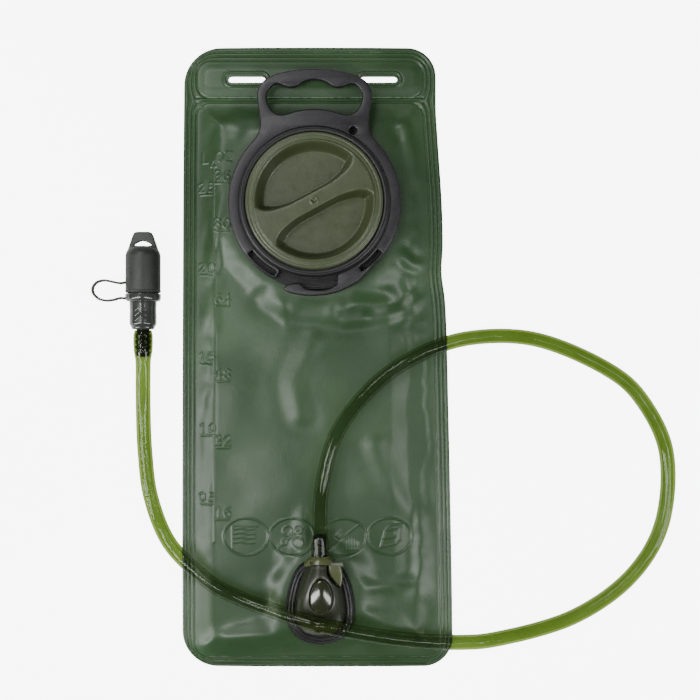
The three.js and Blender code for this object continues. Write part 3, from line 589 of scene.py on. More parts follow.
def moulded(
    name, colour, light, rough, grain, grain_scale, patch, edge_wear_and_light, coat=0.0, edge_reach=0.6, ior=1.5
):
    """Moulded plastic or rubber: uneven tint, fine grain, uneven gloss and edges of another tone.

    The edge tone is painted highlight with some wear, and painted shade where it is darker than the body.
    The colours are display values. The grain and the edge reach are in millimetres; patch, the edge share and
    coat are shares.
    """
    r = Recipe(name)
    colour = srgb(*colour)
    dark = tuple(c * (1 - patch) for c in colour)
    tint = r.ramp(r.noise(45, 5, 0.6), [(0.32, dark), (0.68, colour)])
    # the edge colour on the convex edges: painted highlight with some wear, painted shade where it is darker
    with_edge_tone = r.mix(r.spread(r.edges(edge_reach), 0.0, edge_wear_and_light, 0, 1), tint, srgb(*light))
    gloss = r.noise(160, 5, 0.65)
    normal = r.bump(r.noise(grain_scale, 2, 0.5), grain)
    normal = r.bump(r.noise(380, 6, 0.7, 1.5), grain * 0.7, below=normal)
    r.link(normal, r.shader.inputs["Normal"])
    r.set(Base_Color=with_edge_tone, Roughness=r.spread(gloss, rough - 0.06, rough + 0.09))
    r.set(Coat_Weight=coat, Coat_Roughness=0.12, IOR=ior)
    return r.material


def film_material():
    """Tough welded film: even green with cloudy patches, painted highlights on its convex edges, satin sheen
    and a faint pebbled skin.
    """
    r = Recipe("Green film")
    base, deep, pale = srgb(45, 71, 41), srgb(39, 64, 36), srgb(60, 87, 55)
    cloud = r.ramp(r.noise(14, 3, 0.5, 0.4), [(0.3, deep), (0.52, base), (0.75, pale)])
    speck = r.ramp(r.noise(900, 3, 0.6), [(0.35, 0.84), (0.6, 1.0)])
    colour = r.mix(0.35, cloud, speck, "MULTIPLY")
    # pale convex edges: painted highlight on the embossed strokes and the weld ribs
    with_edge_tone = r.mix(r.spread(r.edges(0.35), 0.0, 0.3, 0, 1), colour, srgb(150, 180, 145))
    skin = r.noise(620, 3, 0.55)
    drag = r.noise(90, 4, 0.6, 0.8)
    normal = r.bump(skin, 0.035)
    normal = r.bump(drag, 0.10, below=normal)
    r.link(normal, r.shader.inputs["Normal"])
    gloss = r.noise(30, 4, 0.6)
    r.set(Base_Color=with_edge_tone, Roughness=r.spread(gloss, 0.33, 0.46), IOR=1.45)
    r.set(Subsurface_Weight=0.08, Subsurface_Scale=0.002, Coat_Weight=0.12, Coat_Roughness=0.25)
    return r.material


def hose_material():
    """Clear tinted tube. Light passes straight through, tinted by how much wall it crosses."""
    r = Recipe("Clear green hose")
    facing = r.add("ShaderNodeLayerWeight")
    facing.inputs["Blend"].default_value = 0.3
    streak = r.noise(55, 3, 0.5)
    clear = r.mix(r.spread(streak, 0.0, 1.0), srgb(228, 233, 221), srgb(233, 238, 228))
    rim = srgb(214, 222, 196)
    tint = r.mix(r.spread(facing.outputs["Facing"], 0.0, 1.0, 0.2, 0.9), clear, rim)
    through = r.add("ShaderNodeBsdfTransparent")
    r.link(tint, through.inputs["Color"])
    body = r.add("ShaderNodeBsdfDiffuse")
    r.link(r.mix(r.spread(streak, 0.0, 1.0), srgb(54, 70, 40), srgb(47, 63, 34)), body.inputs["Color"])
    inner = r.add("ShaderNodeMixShader")
    r.link(r.spread(facing.outputs["Facing"], 0.03, 0.12, 0.2, 0.9), inner.inputs[0])
    r.link(through.outputs[0], inner.inputs[1])
    r.link(body.outputs[0], inner.inputs[2])
    shine = r.add("ShaderNodeBsdfGlossy")
    r.link(r.spread(r.noise(120, 3, 0.6), 0.04, 0.09), shine.inputs["Roughness"])
    normal = r.bump(r.noise(300, 3, 0.6), 0.015)
    r.link(normal, shine.inputs["Normal"])
    fresnel = r.add("ShaderNodeFresnel")
    fresnel.inputs["IOR"].default_value = 1.42
    r.link(normal, fresnel.inputs["Normal"])
    # only the faces turned to the viewer shine
    turned_away = r.add("ShaderNodeNewGeometry").outputs["Backfacing"]
    share = r.add("ShaderNodeMath", operation="MULTIPLY")
    r.link(fresnel.outputs[0], share.inputs[0])
    r.link(r.spread(turned_away, 0.55, 0.0, 0, 1), share.inputs[1])
    surface = r.add("ShaderNodeMixShader")
    r.link(share.outputs[0], surface.inputs[0])
    r.link(inner.outputs[0], surface.inputs[1])
    r.link(shine.outputs[0], surface.inputs[2])
    r.link(surface.outputs[0], r.out.inputs["Surface"])
    return r.material


def steel_material():
    r = Recipe("Drawn wire")
    lines = r.noise(700, 4, 0.6)
    r.link(r.bump(lines, 0.01), r.shader.inputs["Normal"])
    r.set(Base_Color=(0.58, 0.59, 0.6, 1), Metallic=1.0, Roughness=r.spread(lines, 0.22, 0.38))
    return r.material


FILM_GREEN = film_material()
# the darker edge colour, spread over 2.6 mm, is painted shade on the handle's rounded bevels
HANDLE_BLACK = moulded(
    "Black handle plastic", (33, 31, 35), (11, 10, 12), 0.38, 0.045, 700, 0.3, 0.9, edge_reach=2.6
)
PORT_BLACK = moulded("Black port rubber", (23, 23, 24), (50, 50, 50), 0.42, 0.02, 1300, 0.2, 0.2)
CAP_OLIVE = moulded("Olive cap plastic", (63, 72, 46), (112, 122, 88), 0.34, 0.07, 1000, 0.16, 0.6)
HOUSING_OLIVE = moulded(
    "Olive housing plastic", (40, 43, 31), (80, 84, 66), 0.32, 0.012, 900, 0.18, 0.3, coat=0.1
)
# the pale edge colour is painted highlight on the button's rounded lip
BUTTON_GREEN = moulded(
    "Glossy button plastic", (38, 42, 24), (126, 132, 94), 0.15, 0.002, 700, 0.15, 0.5, coat=0.8
)
KHAKI = moulded("Khaki plastic", (76, 82, 50), (122, 127, 88), 0.28, 0.015, 1200, 0.15, 0.4, coat=0.2)
# the crossbar's pale grey is mostly painted highlight along the rounded bar of the khaki lever
CROSSBAR_HIGHLIGHT_GREY = moulded("Crossbar grey with painted highlight", (96, 98, 88), (150, 152, 142), 0.25, 0.01, 900, 0.1, 0.3)
VALVE_GREY = moulded(
    "Grey-green valve plastic", (52, 57, 52), (92, 99, 91), 0.17, 0.002, 1500, 0.15, 0.05, coat=0.7, ior=1.55
)
COVER_GREY = moulded("Matte cover rubber", (41, 47, 41), (74, 80, 72), 0.46, 0.05, 1100, 0.22, 0.25)
STRAP_GREY = moulded("Grey-green strap rubber", (38, 45, 35), (72, 80, 68), 0.42, 0.02, 1500, 0.15, 0.25)
# the yellow-green edge colour is painted highlight on the barb's ridges, seen through the green hose
BARB_BLACK = moulded("Black barb plastic", (17, 18, 16), (60, 64, 44), 0.2, 0.004, 900, 0.2, 0.3)
SEAL_BLACK = moulded("Black seal rubber", (18, 18, 18), (40, 40, 40), 0.4, 0.01, 900, 0.2, 0.1)
SILICONE = moulded("Milky silicone", (186, 190, 180), (220, 224, 214), 0.38, 0.02, 800, 0.08, 0.3)
HOSE_CLEAR = hose_material()
STEEL = steel_material()


def finish_piece(piece, material, body, slot, *nodes):
    """Gives a piece its material and its body, and hides the CAD nodes it stands for.

    A piece that spans a joint has no body of its own.
    """
    piece.data.materials.clear()
    piece.data.materials.append(material)
    if body:
        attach(piece, body)
    if nodes:
        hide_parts(*nodes)


# ---------------------------------------------------------------- pouch

SIDE_WELD, TOP_WELD, BOTTOM_WELD = 8.4, 8.6, 6.4  # widths of the weld bands
WELD_CORNER = 9.0  # radius of the welds' inner corners
CROSS_Y = FILM_HIGH[1] - 34.6  # weld between the water chamber and the hanging strip
CROSS_HALF = 1.7


BACK_LOOPS = boundary_loops("back_film", 0.0)
OUTLINE = even_steps(spline(BACK_LOOPS[0], 4, closed=True), 1.6, closed=True)
SLOTS = [even_steps(loop, 0.8, closed=True) for loop in BACK_LOOPS[1:]]


def side_line(sign):
    """Points up the pouch's left (-1) or right (1) edge, without the round corners."""
    straight = OUTLINE[(OUTLINE[:, 1] > BACK_LOW[1] + 26) & (OUTLINE[:, 1] < BACK_HIGH[1] - 27)]
    edge = straight[np.sign(straight[:, 0]) == sign]
    return edge[np.argsort(edge[:, 1])]


LEFT_LINE, RIGHT_LINE = side_line(-1), side_line(1)


def left(y):
    return np.interp(y, LEFT_LINE[:, 1], LEFT_LINE[:, 0])


def right(y):
    return np.interp(y, RIGHT_LINE[:, 1], RIGHT_LINE[:, 0])


def inside_welds(bottom, top):
    """Outline of the space between the two side welds, with round corners."""
    radius = WELD_CORNER
    quarter = np.linspace(0, np.pi / 2, 9)
    points = []
    for cx, cy, start in ((1, 1, 0), (-1, 1, 1), (-1, -1, 2), (1, -1, 3)):
        y = top - radius if cy > 0 else bottom + radius
        for a in quarter + start * np.pi / 2:
            py = y + radius * np.sin(a)
            edge = right(py) - SIDE_WELD - radius if cx > 0 else left(py) + SIDE_WELD + radius
            points.append((edge + radius * np.cos(a), py))
        if start == 1:
            points.extend((left(q) + SIDE_WELD, q) for q in np.arange(top - radius - 8, bottom + radius, -8))
        if start == 3:
            points.extend((right(q) - SIDE_WELD, q) for q in np.arange(bottom + radius + 8, top - radius, 8))
    return np.array(points)


CHAMBER = inside_welds(BACK_LOW[1] + BOTTOM_WELD, CROSS_Y - CROSS_HALF)
STRIP = inside_welds(CROSS_Y + CROSS_HALF, BACK_HIGH[1] - TOP_WELD)
NECK_BORE, NECK = 41.2, 48.6  # radii of the fill port's neck
TURN = np.linspace(0, 2 * np.pi, 90, endpoint=False)
PORT_HOLE = PORT[:2] + NECK_BORE * np.stack([np.cos(TURN), np.sin(TURN)], 1)

SCALE_X = PORT[0] - 67  # the upright line of the volume scale
SCALE_FOOT, SCALE_TOP = PORT[1] - 224, PORT[1] + 29
# One stroke for each character, on a grid 1 wide and 1.4 high.
GLYPH_HEIGHT = 1.4
GLYPHS = {
    "0": [(0.5, 0), (0.05, 0.35), (0.05, 1.05), (0.5, 1.4), (0.95, 1.05), (0.95, 0.35), (0.5, 0)],
    "1": [(0.2, 1.1), (0.55, 1.4), (0.55, 0)],
    "2": [(0.05, 1.1), (0.35, 1.4), (0.8, 1.3), (0.85, 0.9), (0.05, 0), (0.95, 0)],
    "3": [(0.1, 1.3), (0.6, 1.4), (0.9, 1.1), (0.45, 0.75), (0.95, 0.4), (0.6, 0), (0.05, 0.1)],
    "4": [(0.7, 0), (0.7, 1.4), (0.05, 0.45), (0.95, 0.45)],
    "5": [(0.9, 1.4), (0.15, 1.4), (0.1, 0.8), (0.6, 0.9), (0.95, 0.5), (0.6, 0), (0.05, 0.1)],
    "6": [(0.85, 1.3), (0.4, 1.3), (0.05, 0.6), (0.3, 0), (0.8, 0.05), (0.95, 0.45), (0.6, 0.8), (0.1, 0.55)],
    "8": [
        (0.5, 0.75), (0.1, 1.1), (0.5, 1.4), (0.9, 1.1), (0.5, 0.75),
        (0.05, 0.35), (0.5, 0), (0.95, 0.35), (0.5, 0.75),
    ],
    "9": [(0.9, 0.85), (0.4, 0.6), (0.05, 1.0), (0.4, 1.4), (0.85, 1.3), (0.9, 0.7), (0.5, 0)],
    ".": [(0.4, 0), (0.55, 0.12)],
    "L": [(0.1, 1.4), (0.1, 0), (0.85, 0)],
    "Z": [(0.05, 1.4), (0.95, 1.4), (0.05, 0), (0.95, 0)],
}
GLYPHS["O"] = GLYPHS["0"]
# Each number's place on the scale, from the port's centre: ounces right of the line, litres left of it.
OUNCES = {"96": 18.5, "80": -13, "64": -62.5, "48": -112.6, "32": -156.7, "16": -204}
LITRES = {"2.5": 11, "2.0": -42, "1.5": -101.3, "1.0": -148.7, "0.5": -194.2}


def word(text, x, y, height):
    """Strokes of a word centred on a point."""
    size = height / GLYPH_HEIGHT
    widths = [0.45 if c == "." else 1.25 for c in text]
    start = x - sum(widths) * size / 2
    strokes = []
    for c, w in zip(text, widths):
        strokes.append([(start + (px + 0.1) * size, y - height / 2 + py * size) for px, py in GLYPHS[c]])
        start += w * size
    return strokes


def scale_strokes():
    """The embossed volume scale: an arrowed line, numbers on both sides and a short rule under each."""
    x, y, top = SCALE_X, PORT[1], SCALE_TOP
    strokes = [
        [(x, SCALE_FOOT), (x, top - 4)],
        [(x - 2.2, top - 4.5), (x, top), (x + 2.2, top - 4.5), (x - 2.2, top - 4.5)],
    ]
    strokes += word("L", x - 5.6, y + 30.5, 6.5) + word("OZ", x + 7, y + 31, 6.5)
    for text, dy in OUNCES.items():
        strokes += word(text, x + 5.8, y + dy, 6.6)
        strokes.append([(x + 1, y + dy - 5), (x + 10, y + dy - 5)])
    for text, dy in LITRES.items():
        strokes += word(text, x - 4.6, y + dy, 5.6)
        strokes.append([(x - 9, y + dy - 4.8), (x - 1, y + dy - 4.8)])
    return strokes


OVALS = [(-45.9, -120.5), (-15.3, -120.5), (19.2, -120.9), (49.5, -120.5)]  # their centres
OVAL_RADII = (15.0, 12.3)


def small_ring(radius, x, y):
    return [(x + radius * math.cos(a), y + radius * math.sin(a)) for a in np.linspace(0, 6.3, 14)]


# Plain strokes inside each oval, from its centre. They stand in for pictograms.
OVAL_MARKS = [
    [
        *[[(-8, 5 - 3 * k), (-3, 5.6 - 3 * k), (1, 4.6 - 3 * k), (6, 5.2 - 3 * k)] for k in range(4)],
        [(-9, -8), (-9, 7), (8, 7)],
    ],
    [
        *[small_ring(*ring) for ring in ((3.2, -3, 3.6), (2.2, 4.5, 4.4), (3.6, 4, -4), (1.8, -5, -3.6))],
        [(-9.6, -8), (9.6, 8)],
    ],
    [
        *[[(2 + 1.8 * k, -7), (2 + 1.8 * k, -2 + 1.2 * math.sin(k))] for k in range(5)],
        [(-6, -6), (-3, -2), (-7, 1), (-3, 5)],
        [(-10, -8), (10, 8.5)],
    ],
    [
        [(-6, -7), (4, -5), (6, 5), (-3, 4), (-6, -7)],
        [(-5, -1.5), (5, 0)],
        [(-3, 4), (0, 7.5), (9, 8), (6, 5)],
        [(9, 8), (8, -2), (4, -5)],
    ],
]
STROKE = 0.5  # half width of an embossed stroke
EMBOSSING = 0.42  # its height


def by_scale(x, y, left_reach, right_reach):
    """True for the points near the volume scale."""
    across = (x > SCALE_X - left_reach) & (x < SCALE_X + right_reach)
    return across & (y < SCALE_TOP + 7) & (y > SCALE_FOOT - 4)


def press_marks(points):
    """Height of the embossed scale and ovals at each point."""
    height = np.zeros(len(points))
    near = by_scale(points[:, 0], points[:, 1], 13, 16)
    subset = points[near]
    ridge = np.zeros(len(subset))
    for stroke in scale_strokes():
        line = np.array(stroke)
        close = ((subset > line.min(0) - 3) & (subset < line.max(0) + 3)).all(1)
        d = distance_to(subset[close], line, closed=False)
        ridge[close] = np.maximum(ridge[close], bell(d, STROKE))
    height[near] += EMBOSSING * ridge
    a, b = OVAL_RADII
    for centre, marks in zip(OVALS, OVAL_MARKS):
        q = points - centre
        near = (np.abs(q[:, 0]) < a + 3) & (np.abs(q[:, 1]) < b + 3)
        q = q[near]
        rim = (np.hypot(q[:, 0] / a, q[:, 1] / b) - 1) * (a + b) / 2
        ridge = bell(rim, STROKE) * EMBOSSING - bell(rim + 1.5, 0.6) * 0.18
        ridge -= 0.22 * smoothstep(-rim / 3)
        for stroke in marks:
            ridge = np.maximum(ridge, 0.38 * bell(distance_to(q, stroke, closed=False), STROKE) - 0.2)
        height[near] += ridge
    return height


def port_radius(points):
    """Distance of each point from the axis of the fill port and the cap."""
    return np.hypot(points[:, 0] - PORT[0], points[:, 1] - PORT[1])


def clear_of_ports(points):
    """Distance of each point from the fill port's flange and, roughly, from the outlet's flange."""
    from_port = port_radius(points) - (PORT_HIGH - PORT_LOW)[0] / 2
    q = points - middle("outlet_flange")[:2]
    from_outlet = np.hypot(q[:, 0] / 23, q[:, 1] / 29) * 25 - 25
    return from_port, from_outlet


SHEET_STEP = 4.0  # spacing of the cloth sheet's points
SHEET_GROWTH = 0.006  # how much larger the sheet is than the area it is welded round
SETTLING_FRAMES = 28
MOST_SAG = 2.5  # the sheet's rise or sag is kept within this


def settle_sheet():
    """The front film as cloth: a sheet slightly too large for its welds settles under its own weight.

    Returns its rise or sag in millimetres as a grid, and the grid's first x and y.
    """
    xs = np.arange(BACK_LOW[0] + 1, BACK_HIGH[0], SHEET_STEP)
    ys = np.arange(BACK_LOW[1] + 1, CROSS_Y, SHEET_STEP)
    points = np.stack(np.meshgrid(xs, ys), -1).reshape(-1, 2)
    chamber = signed_distance(points, CHAMBER)
    from_port, from_outlet = clear_of_ports(points)
    start = FILM_TOP * smoothstep(chamber / 16) + waves(points[:, 0], points[:, 1], 31, 40) * 0.6
    wide = len(xs)
    faces = [
        (r * wide + c, r * wide + c + 1, (r + 1) * wide + c + 1, (r + 1) * wide + c)
        for r in range(len(ys) - 1)
        for c in range(wide - 1)
    ]
    sheet = mesh_object("film_sheet", np.column_stack([points, start]), faces)
    held = np.flatnonzero((chamber < 4) | (from_port < 3) | (from_outlet < 3))
    sheet.vertex_groups.new(name="welded").add(held.tolist(), 1.0, "REPLACE")
    cloth = sheet.modifiers.new("Cloth", "CLOTH")
    film = cloth.settings
    film.quality = 6
    film.mass = 0.05
    film.tension_stiffness = film.compression_stiffness = 30
    film.shear_stiffness = 12
    film.bending_stiffness = 1.5
    film.shrink_min = -SHEET_GROWTH
    film.vertex_group_mass = "welded"
    film.effector_weights.gravity = 0.15
    cloth.point_cache.frame_start = 1
    cloth.point_cache.frame_end = SETTLING_FRAMES
    for moment in range(1, SETTLING_FRAMES + 1):
        bpy.context.scene.frame_set(moment)
    apply_modifiers(sheet)
    settled = np.array([v.co.z for v in sheet.data.vertices]) / METRES
    bpy.context.scene.frame_set(1)
    bpy.data.objects.remove(sheet)
    sag = (settled - start).reshape(len(ys), wide)
    return np.clip(sag, -MOST_SAG, MOST_SAG), xs[0], ys[0]


def sampled(grid, x0, y0, points):
    """A smooth surface over a grid of heights with the sheet's spacing, read at any points."""
    across = (points[:, 0] - x0) / SHEET_STEP
    along = (points[:, 1] - y0) / SHEET_STEP
    column, row = np.floor(across).astype(int), np.floor(along).astype(int)
    total = np.zeros(len(points))
    for j, share_y in enumerate(spline_weights(along - row)):
        for i, share_x in enumerate(spline_weights(across - column)):
            r = np.clip(row + j - 1, 0, grid.shape[0] - 1)
            c = np.clip(column + i - 1, 0, grid.shape[1] - 1)
            total += share_x * share_y * grid[r, c]
    return total


def spline_weights(t):
    """Weights of the four grid lines round a point in a uniform cubic B-spline."""
    before, after = 3 * t**3 - 6 * t**2 + 4, -3 * t**3 + 3 * t**2 + 3 * t + 1
    return (1 - t) ** 3 / 6, before / 6, after / 6, t**3 / 6


SETTLED = settle_sheet()


WELD_RELIEF = 0.45  # height of the ribs in the weld bands, and depth of the lines between them


def film_height(points):
    """Top of the front film above the resting plane."""
    x, y = points[:, 0], points[:, 1]
    rim = distance_to(points, OUTLINE)
    chamber = signed_distance(points, CHAMBER)
    strip = signed_distance(points, STRIP)
    inner = np.minimum(-chamber, -strip)
    share = rim / np.maximum(rim + np.maximum(inner, 0), 1e-6)
    weld = (inner > 0) & (share < 0.999)
    # the weld bands: three soft ribs with pressed lines between them
    band = np.where(weld, WELD_RELIEF * np.sin(np.clip(share * 3, 0, 3) * np.pi) ** 2, 0.0)
    lines = bell((share - 0.345) * SIDE_WELD, 0.3) + bell((share - 0.64) * SIDE_WELD, 0.3)
    height = WELD_TOP + band - WELD_RELIEF * lines * weld
    height -= 0.5 * bell(inner, 0.4)
    crossing = (inner > -0.2) * (rim > 8)
    height += (0.75 * bell(y - CROSS_Y, 0.8) - 0.3 * bell(np.abs(y - CROSS_Y) - 1.6, 0.4)) * crossing
    # the water chamber rises to the ports, with slack folds; the strip above it stays thin
    climb = 17 + 4 * waves(x, y, 17, 130) + 16 * smoothstep((x + 30) / 60)
    rise = (FILM_TOP - WELD_TOP) * smoothstep(chamber / np.clip(climb, 13, 36))
    slack = waves(x, y, 3, 46) * 0.4 + waves(x, y, 8, 24) * 0.1
    if SETTLED is not None:
        slack = slack * 0.5 + sampled(*SETTLED, points)
    from_port, from_outlet = clear_of_ports(points)
    free = smoothstep(chamber / 14) * smoothstep(from_port / 16) * smoothstep(from_outlet / 12)
    height += rise + slack * free * 1.5 + folds(points) * free
    height += 0.85 * smoothstep(strip / 7) + waves(x, y, 5, 30) * 0.14 * smoothstep(strip / 6)
    for loop in SLOTS:
        away = distance_to(points, loop)
        height += 0.5 * bell(away - 2.6, 0.55) - 0.25 * bell(away - 1.5, 0.4) - 0.25 * bell(away - 3.7, 0.4)
    height += press_marks(points) * smoothstep(chamber / 3)
    return np.maximum(height, FILM + 0.35)


# Long soft creases near the fill port and the drawn-in right edge: three points, a height and a width.
CREASES = [
    ((84, 45), (58, 30), (20, 22), 0.9, 5.0),
    ((86, 62), (66, 60), (58, 66), 1.1, 4.0),
    ((-30, 36), (-8, 28), (30, 26), 0.9, 6.0),
    ((60, 150), (66, 120), (60, 96), 0.8, 5.0),
    ((-70, 60), (-66, 84), (-58, 100), 0.7, 5.0),
    ((-2, 10), (-14, -18), (-10, -40), 0.6, 7.0),
    ((40, -60), (52, -90), (70, -110), 0.6, 7.0),
]


def folds(points):
    """Height of the long creases, each a ridge with a shallow trough along it."""
    total = np.zeros(len(points))
    for a, b, c, size, width in CREASES:
        d = distance_to(points, spline([a, b, c], 6), closed=False)
        total += size * (bell(d, width) - 0.5 * bell(d - width * 1.4, width * 0.8))
    return total


def detailed(points):
    """True where the front film has welds or embossing."""
    x, y = points[:, 0], points[:, 1]
    near = np.minimum(x - left(y), right(y) - x) < 11
    near |= (y < BACK_LOW[1] + 9) | (y > CROSS_Y - 4)
    near |= by_scale(x, y, 13, 13)
    for cx, cy in OVALS:
        near |= np.hypot((x - cx) / 17, (y - cy) / 14.5) < 1
    return near


def over_pouch(step, seed):
    return lattice(BACK_LOW[:2], BACK_HIGH[:2], step, seed)


def make_front_film():
    coarse, fine = over_pouch(1.7, 1), over_pouch(0.5, 2)
    holes = [PORT_HOLE, *SLOTS]
    piece = relief(
        "front_film_skin",
        [OUTLINE, *holes],
        between(np.vstack([coarse[~detailed(coarse)], fine[detailed(fine)]]), OUTLINE, holes, 0.3),
        between(over_pouch(2.2, 4), OUTLINE, holes, 0.9),
        film_height,
        lambda p: np.maximum(film_height(p) - FILM, FILM + 0.02),
    )
    finish_piece(piece, FILM_GREEN, "pouch", "film", "front_film")


def back_under(points):
    """Underside of the back film: flat where it rests, with the weld lines pressed in."""
    rim = distance_to(points, OUTLINE)
    inner = np.minimum(-signed_distance(points, CHAMBER), -signed_distance(points, STRIP))
    pressed = bell(rim - 2.8, 0.5) + bell(rim - 5.4, 0.5) + bell(inner, 0.5)
    return 0.12 * smoothstep(pressed) + 0.1 * (inner > 0)


def by_welds(points):
    return np.minimum(distance_to(points, OUTLINE), np.abs(points[:, 1] - CROSS_Y)) < 10


def make_back_film():
    fine, coarse = over_pouch(0.9, 6), over_pouch(3.0, 7)
    under = np.vstack([coarse[~by_welds(coarse)], fine[by_welds(fine)]])
    piece = relief(
        "back_film_skin",
        [OUTLINE, *SLOTS],
        between(coarse, OUTLINE, SLOTS, 1.0),
        between(under, OUTLINE, SLOTS, 0.4),
        level(FILM),
        back_under,
    )
    finish_piece(piece, FILM_GREEN, "pouch", "film", "back_film")


make_front_film()
make_back_film()

# ---------------------------------------------------------------- fill port, handle and cap


def helix_rib(name, wall, tip, low, turns=0.6, lead=10.0):
    """Both starts of a thread: tapered ribs that climb round the port's axis from wall to tip radius."""
    verts, faces = [], []
    steps = 72
    sunk = wall + math.copysign(0.3, wall - tip)
    for start in range(2):
        base = len(verts)
        for i in range(steps + 1):
            along = i / steps * turns
            angle = start * math.pi + along * 2 * math.pi
            z = low + along * lead
            reach = wall + (tip - wall) * (0.05 + 0.95 * float(smoothstep(min(i, steps - i) / 7)))
            for r, h in ((sunk, -1.0), (reach, -0.45), (reach, 0.45), (sunk, 1.0)):
                verts.append((PORT[0] + r * math.cos(angle), PORT[1] + r * math.sin(angle), z + h))
        for i in range(steps):
            for k in range(4):
                a, b = base + i * 4 + k, base + i * 4 + (k + 1) % 4
                faces.append((a, b, b + 4, a + 4))
        faces.append((base, base + 1, base + 2, base + 3))
        end = base + steps * 4
        faces.append((end, end + 3, end + 2, end + 1))
    return closed_body(mesh_object(name, verts, faces), 40)


def make_port():
    base, flange = PORT_LOW[2], PORT_LOW[2] + 1.5
    radius = (PORT_HIGH - PORT_LOW)[0] / 2
    top = PORT_HIGH[2]
    profile = [(NECK_BORE, base), (radius, base), (radius, flange - 0.4), (radius - 0.5, flange)]
    for k in range(5):
        r = radius - 1.2 - 1.45 * k
        profile += [(r, flange), (r - 0.25, flange + 0.75), (r - 0.6, flange + 0.75), (r - 0.85, flange)]
    profile += [(NECK, flange + 0.1), (NECK, 15.7), (NECK + 0.9, 16.4), (NECK, 17.3), (NECK, top - 0.9)]
    profile += [(NECK - 0.3, top - 0.3), (NECK - 0.9, top), (NECK - 1.3, top), (NECK - 1.5, top - 0.25)]
    profile += [(NECK - 1.75, top), (46.0, top), (45.4, top - 0.3), (45.2, top - 0.9), (45.2, top - 2)]
    profile += [(NECK_BORE, top - 2)]
    port = turned("fill_port_body", profile, "Z", (PORT[0], PORT[1], 0), 180, 30)
    finish_piece(port, PORT_BLACK, "pouch", "port_black", "fill_port")
    thread = helix_rib("fill_port_thread", NECK_BORE, NECK_BORE - 1.7, 10.5)
    finish_piece(thread, PORT_BLACK, "pouch", "port_black")


def softened(loop, step, reach):
    """A closed outline with its corners rounded over about reach."""
    p = even_steps(loop, step, closed=True)
    for _ in range(max(1, round(reach / step))):
        p = (np.roll(p, 1, axis=0) + 2 * p + np.roll(p, -1, axis=0)) / 4
    return p


def make_handle():
    inset = 0.5  # the flat faces of the CAD node are this far inside its widest outline
    loops = boundary_loops("handle_ring", HANDLE_LOW[2])
    loops = [softened(loops[0], 0.7, 1.4)] + [softened(loop, 0.5, 1.5) for loop in loops[1:]]
    ring = plate("handle_ring_body", loops, HANDLE_LOW[2], HANDLE_HIGH[2], 1.0, 3, inset)
    finish_piece(ring, HANDLE_BLACK, "pouch", "handle_black", "handle_ring")


BAR_ANGLE = math.radians(28.3)  # of the cap's grip bar
RECESS_RADIUS = 38.8  # of the grip recesses at their rims
RECESS_FLOOR_Z = 12.0
# Half width of the bar at distances from the cap's centre.
BAR_EDGE = [(0, 4.7), (15, 4.75), (20, 5.4), (25, 6.4), (28, 7.2), (31, 8.4), (33.5, 10.4)]


def recess_outline(radius, draft, corner):
    """Outline of a grip recess in the bar's frame, where the bar runs along the first axis."""
    shrink = radius / RECESS_RADIUS
    side = [(u * shrink, v + draft) for u, v in BAR_EDGE]
    start = math.atan2(14 * shrink + draft * 0.6, 36 * shrink)
    angles = np.linspace(start, math.pi - start, 60)
    arc = [(radius * math.cos(a), radius * math.sin(a)) for a in angles]
    bar = [(-u, v) for u, v in reversed(side)] + side[1:]
    return softened(np.array(arc + bar), 0.4, corner)


RECESS_TOP = recess_outline(RECESS_RADIUS, 0, 0.4)
RECESS_FLOOR = recess_outline(33.2, 2.6, 2.5)


def bar_frame(points):
    """Points in the frame of the cap's grip bar, both recesses folded onto one side."""
    q = points - PORT[:2]
    c, s = math.cos(BAR_ANGLE), math.sin(BAR_ANGLE)
    u, v = q[:, 0] * c + q[:, 1] * s, q[:, 1] * c - q[:, 0] * s
    side = np.where(v < 0, -1, 1)
    return np.stack([u * side, v * side], 1)


CAP_ROUNDING = 1.3  # radius of the cap's outer edge
CAP_GROOVE = 42.3  # radius of the fine groove in its rim


def cap_top(points):
    radius = port_radius(points)
    folded = bar_frame(points)
    into = signed_distance(folded, RECESS_TOP)
    left_over = -signed_distance(folded, RECESS_FLOOR)
    share = np.clip(into / np.maximum(into + np.maximum(left_over, 0), 1e-6), 0, 1)
    depth = share - 0.10 * np.sin(2 * np.pi * share)
    past = np.clip(radius - (CAP_RADIUS - CAP_ROUNDING), 0, CAP_ROUNDING)
    height = CAP_HIGH[2] - 0.8 + 0.8 * smoothstep((39.8 - radius) / 0.7)
    height -= CAP_ROUNDING - np.sqrt(CAP_ROUNDING**2 - past**2)
    height -= 0.28 * bell(radius - CAP_GROOVE, 0.3)
    height -= 0.175 * bell(into + 0.1, 0.6)
    # the moulding mark at the centre
    height -= 0.7 * smoothstep((1.5 - radius) / 0.5) - 0.35 * bell(radius - 2.3, 0.5)
    return np.where(into > 0, height - (height - RECESS_FLOOR_Z) * depth, height)


def cap_under(points):
    radius = port_radius(points)
    heights = [10.2, CAP_LOW[2], CAP_LOW[2] + 0.5]
    return np.select([radius < 36.5, radius < 38.7, radius < 39.0], heights, 18.9)


def circle_points(radius, step):
    count = max(12, round(2 * np.pi * radius / step))
    a = np.arange(count) * 2 * np.pi / count
    return np.stack([PORT[0] + radius * np.cos(a), PORT[1] + radius * np.sin(a)], 1)


def busy(points):
    """True where the cap's top has recess walls, grooves or the mark at its centre."""
    folded, radius = bar_frame(points), port_radius(points)
    walls = (signed_distance(folded, RECESS_TOP) > -1) & (signed_distance(folded, RECESS_FLOOR) < 1)
    return walls | (radius < 3.5) | (np.abs(radius - 39.5) < 1) | (np.abs(radius - CAP_GROOVE) < 0.8)


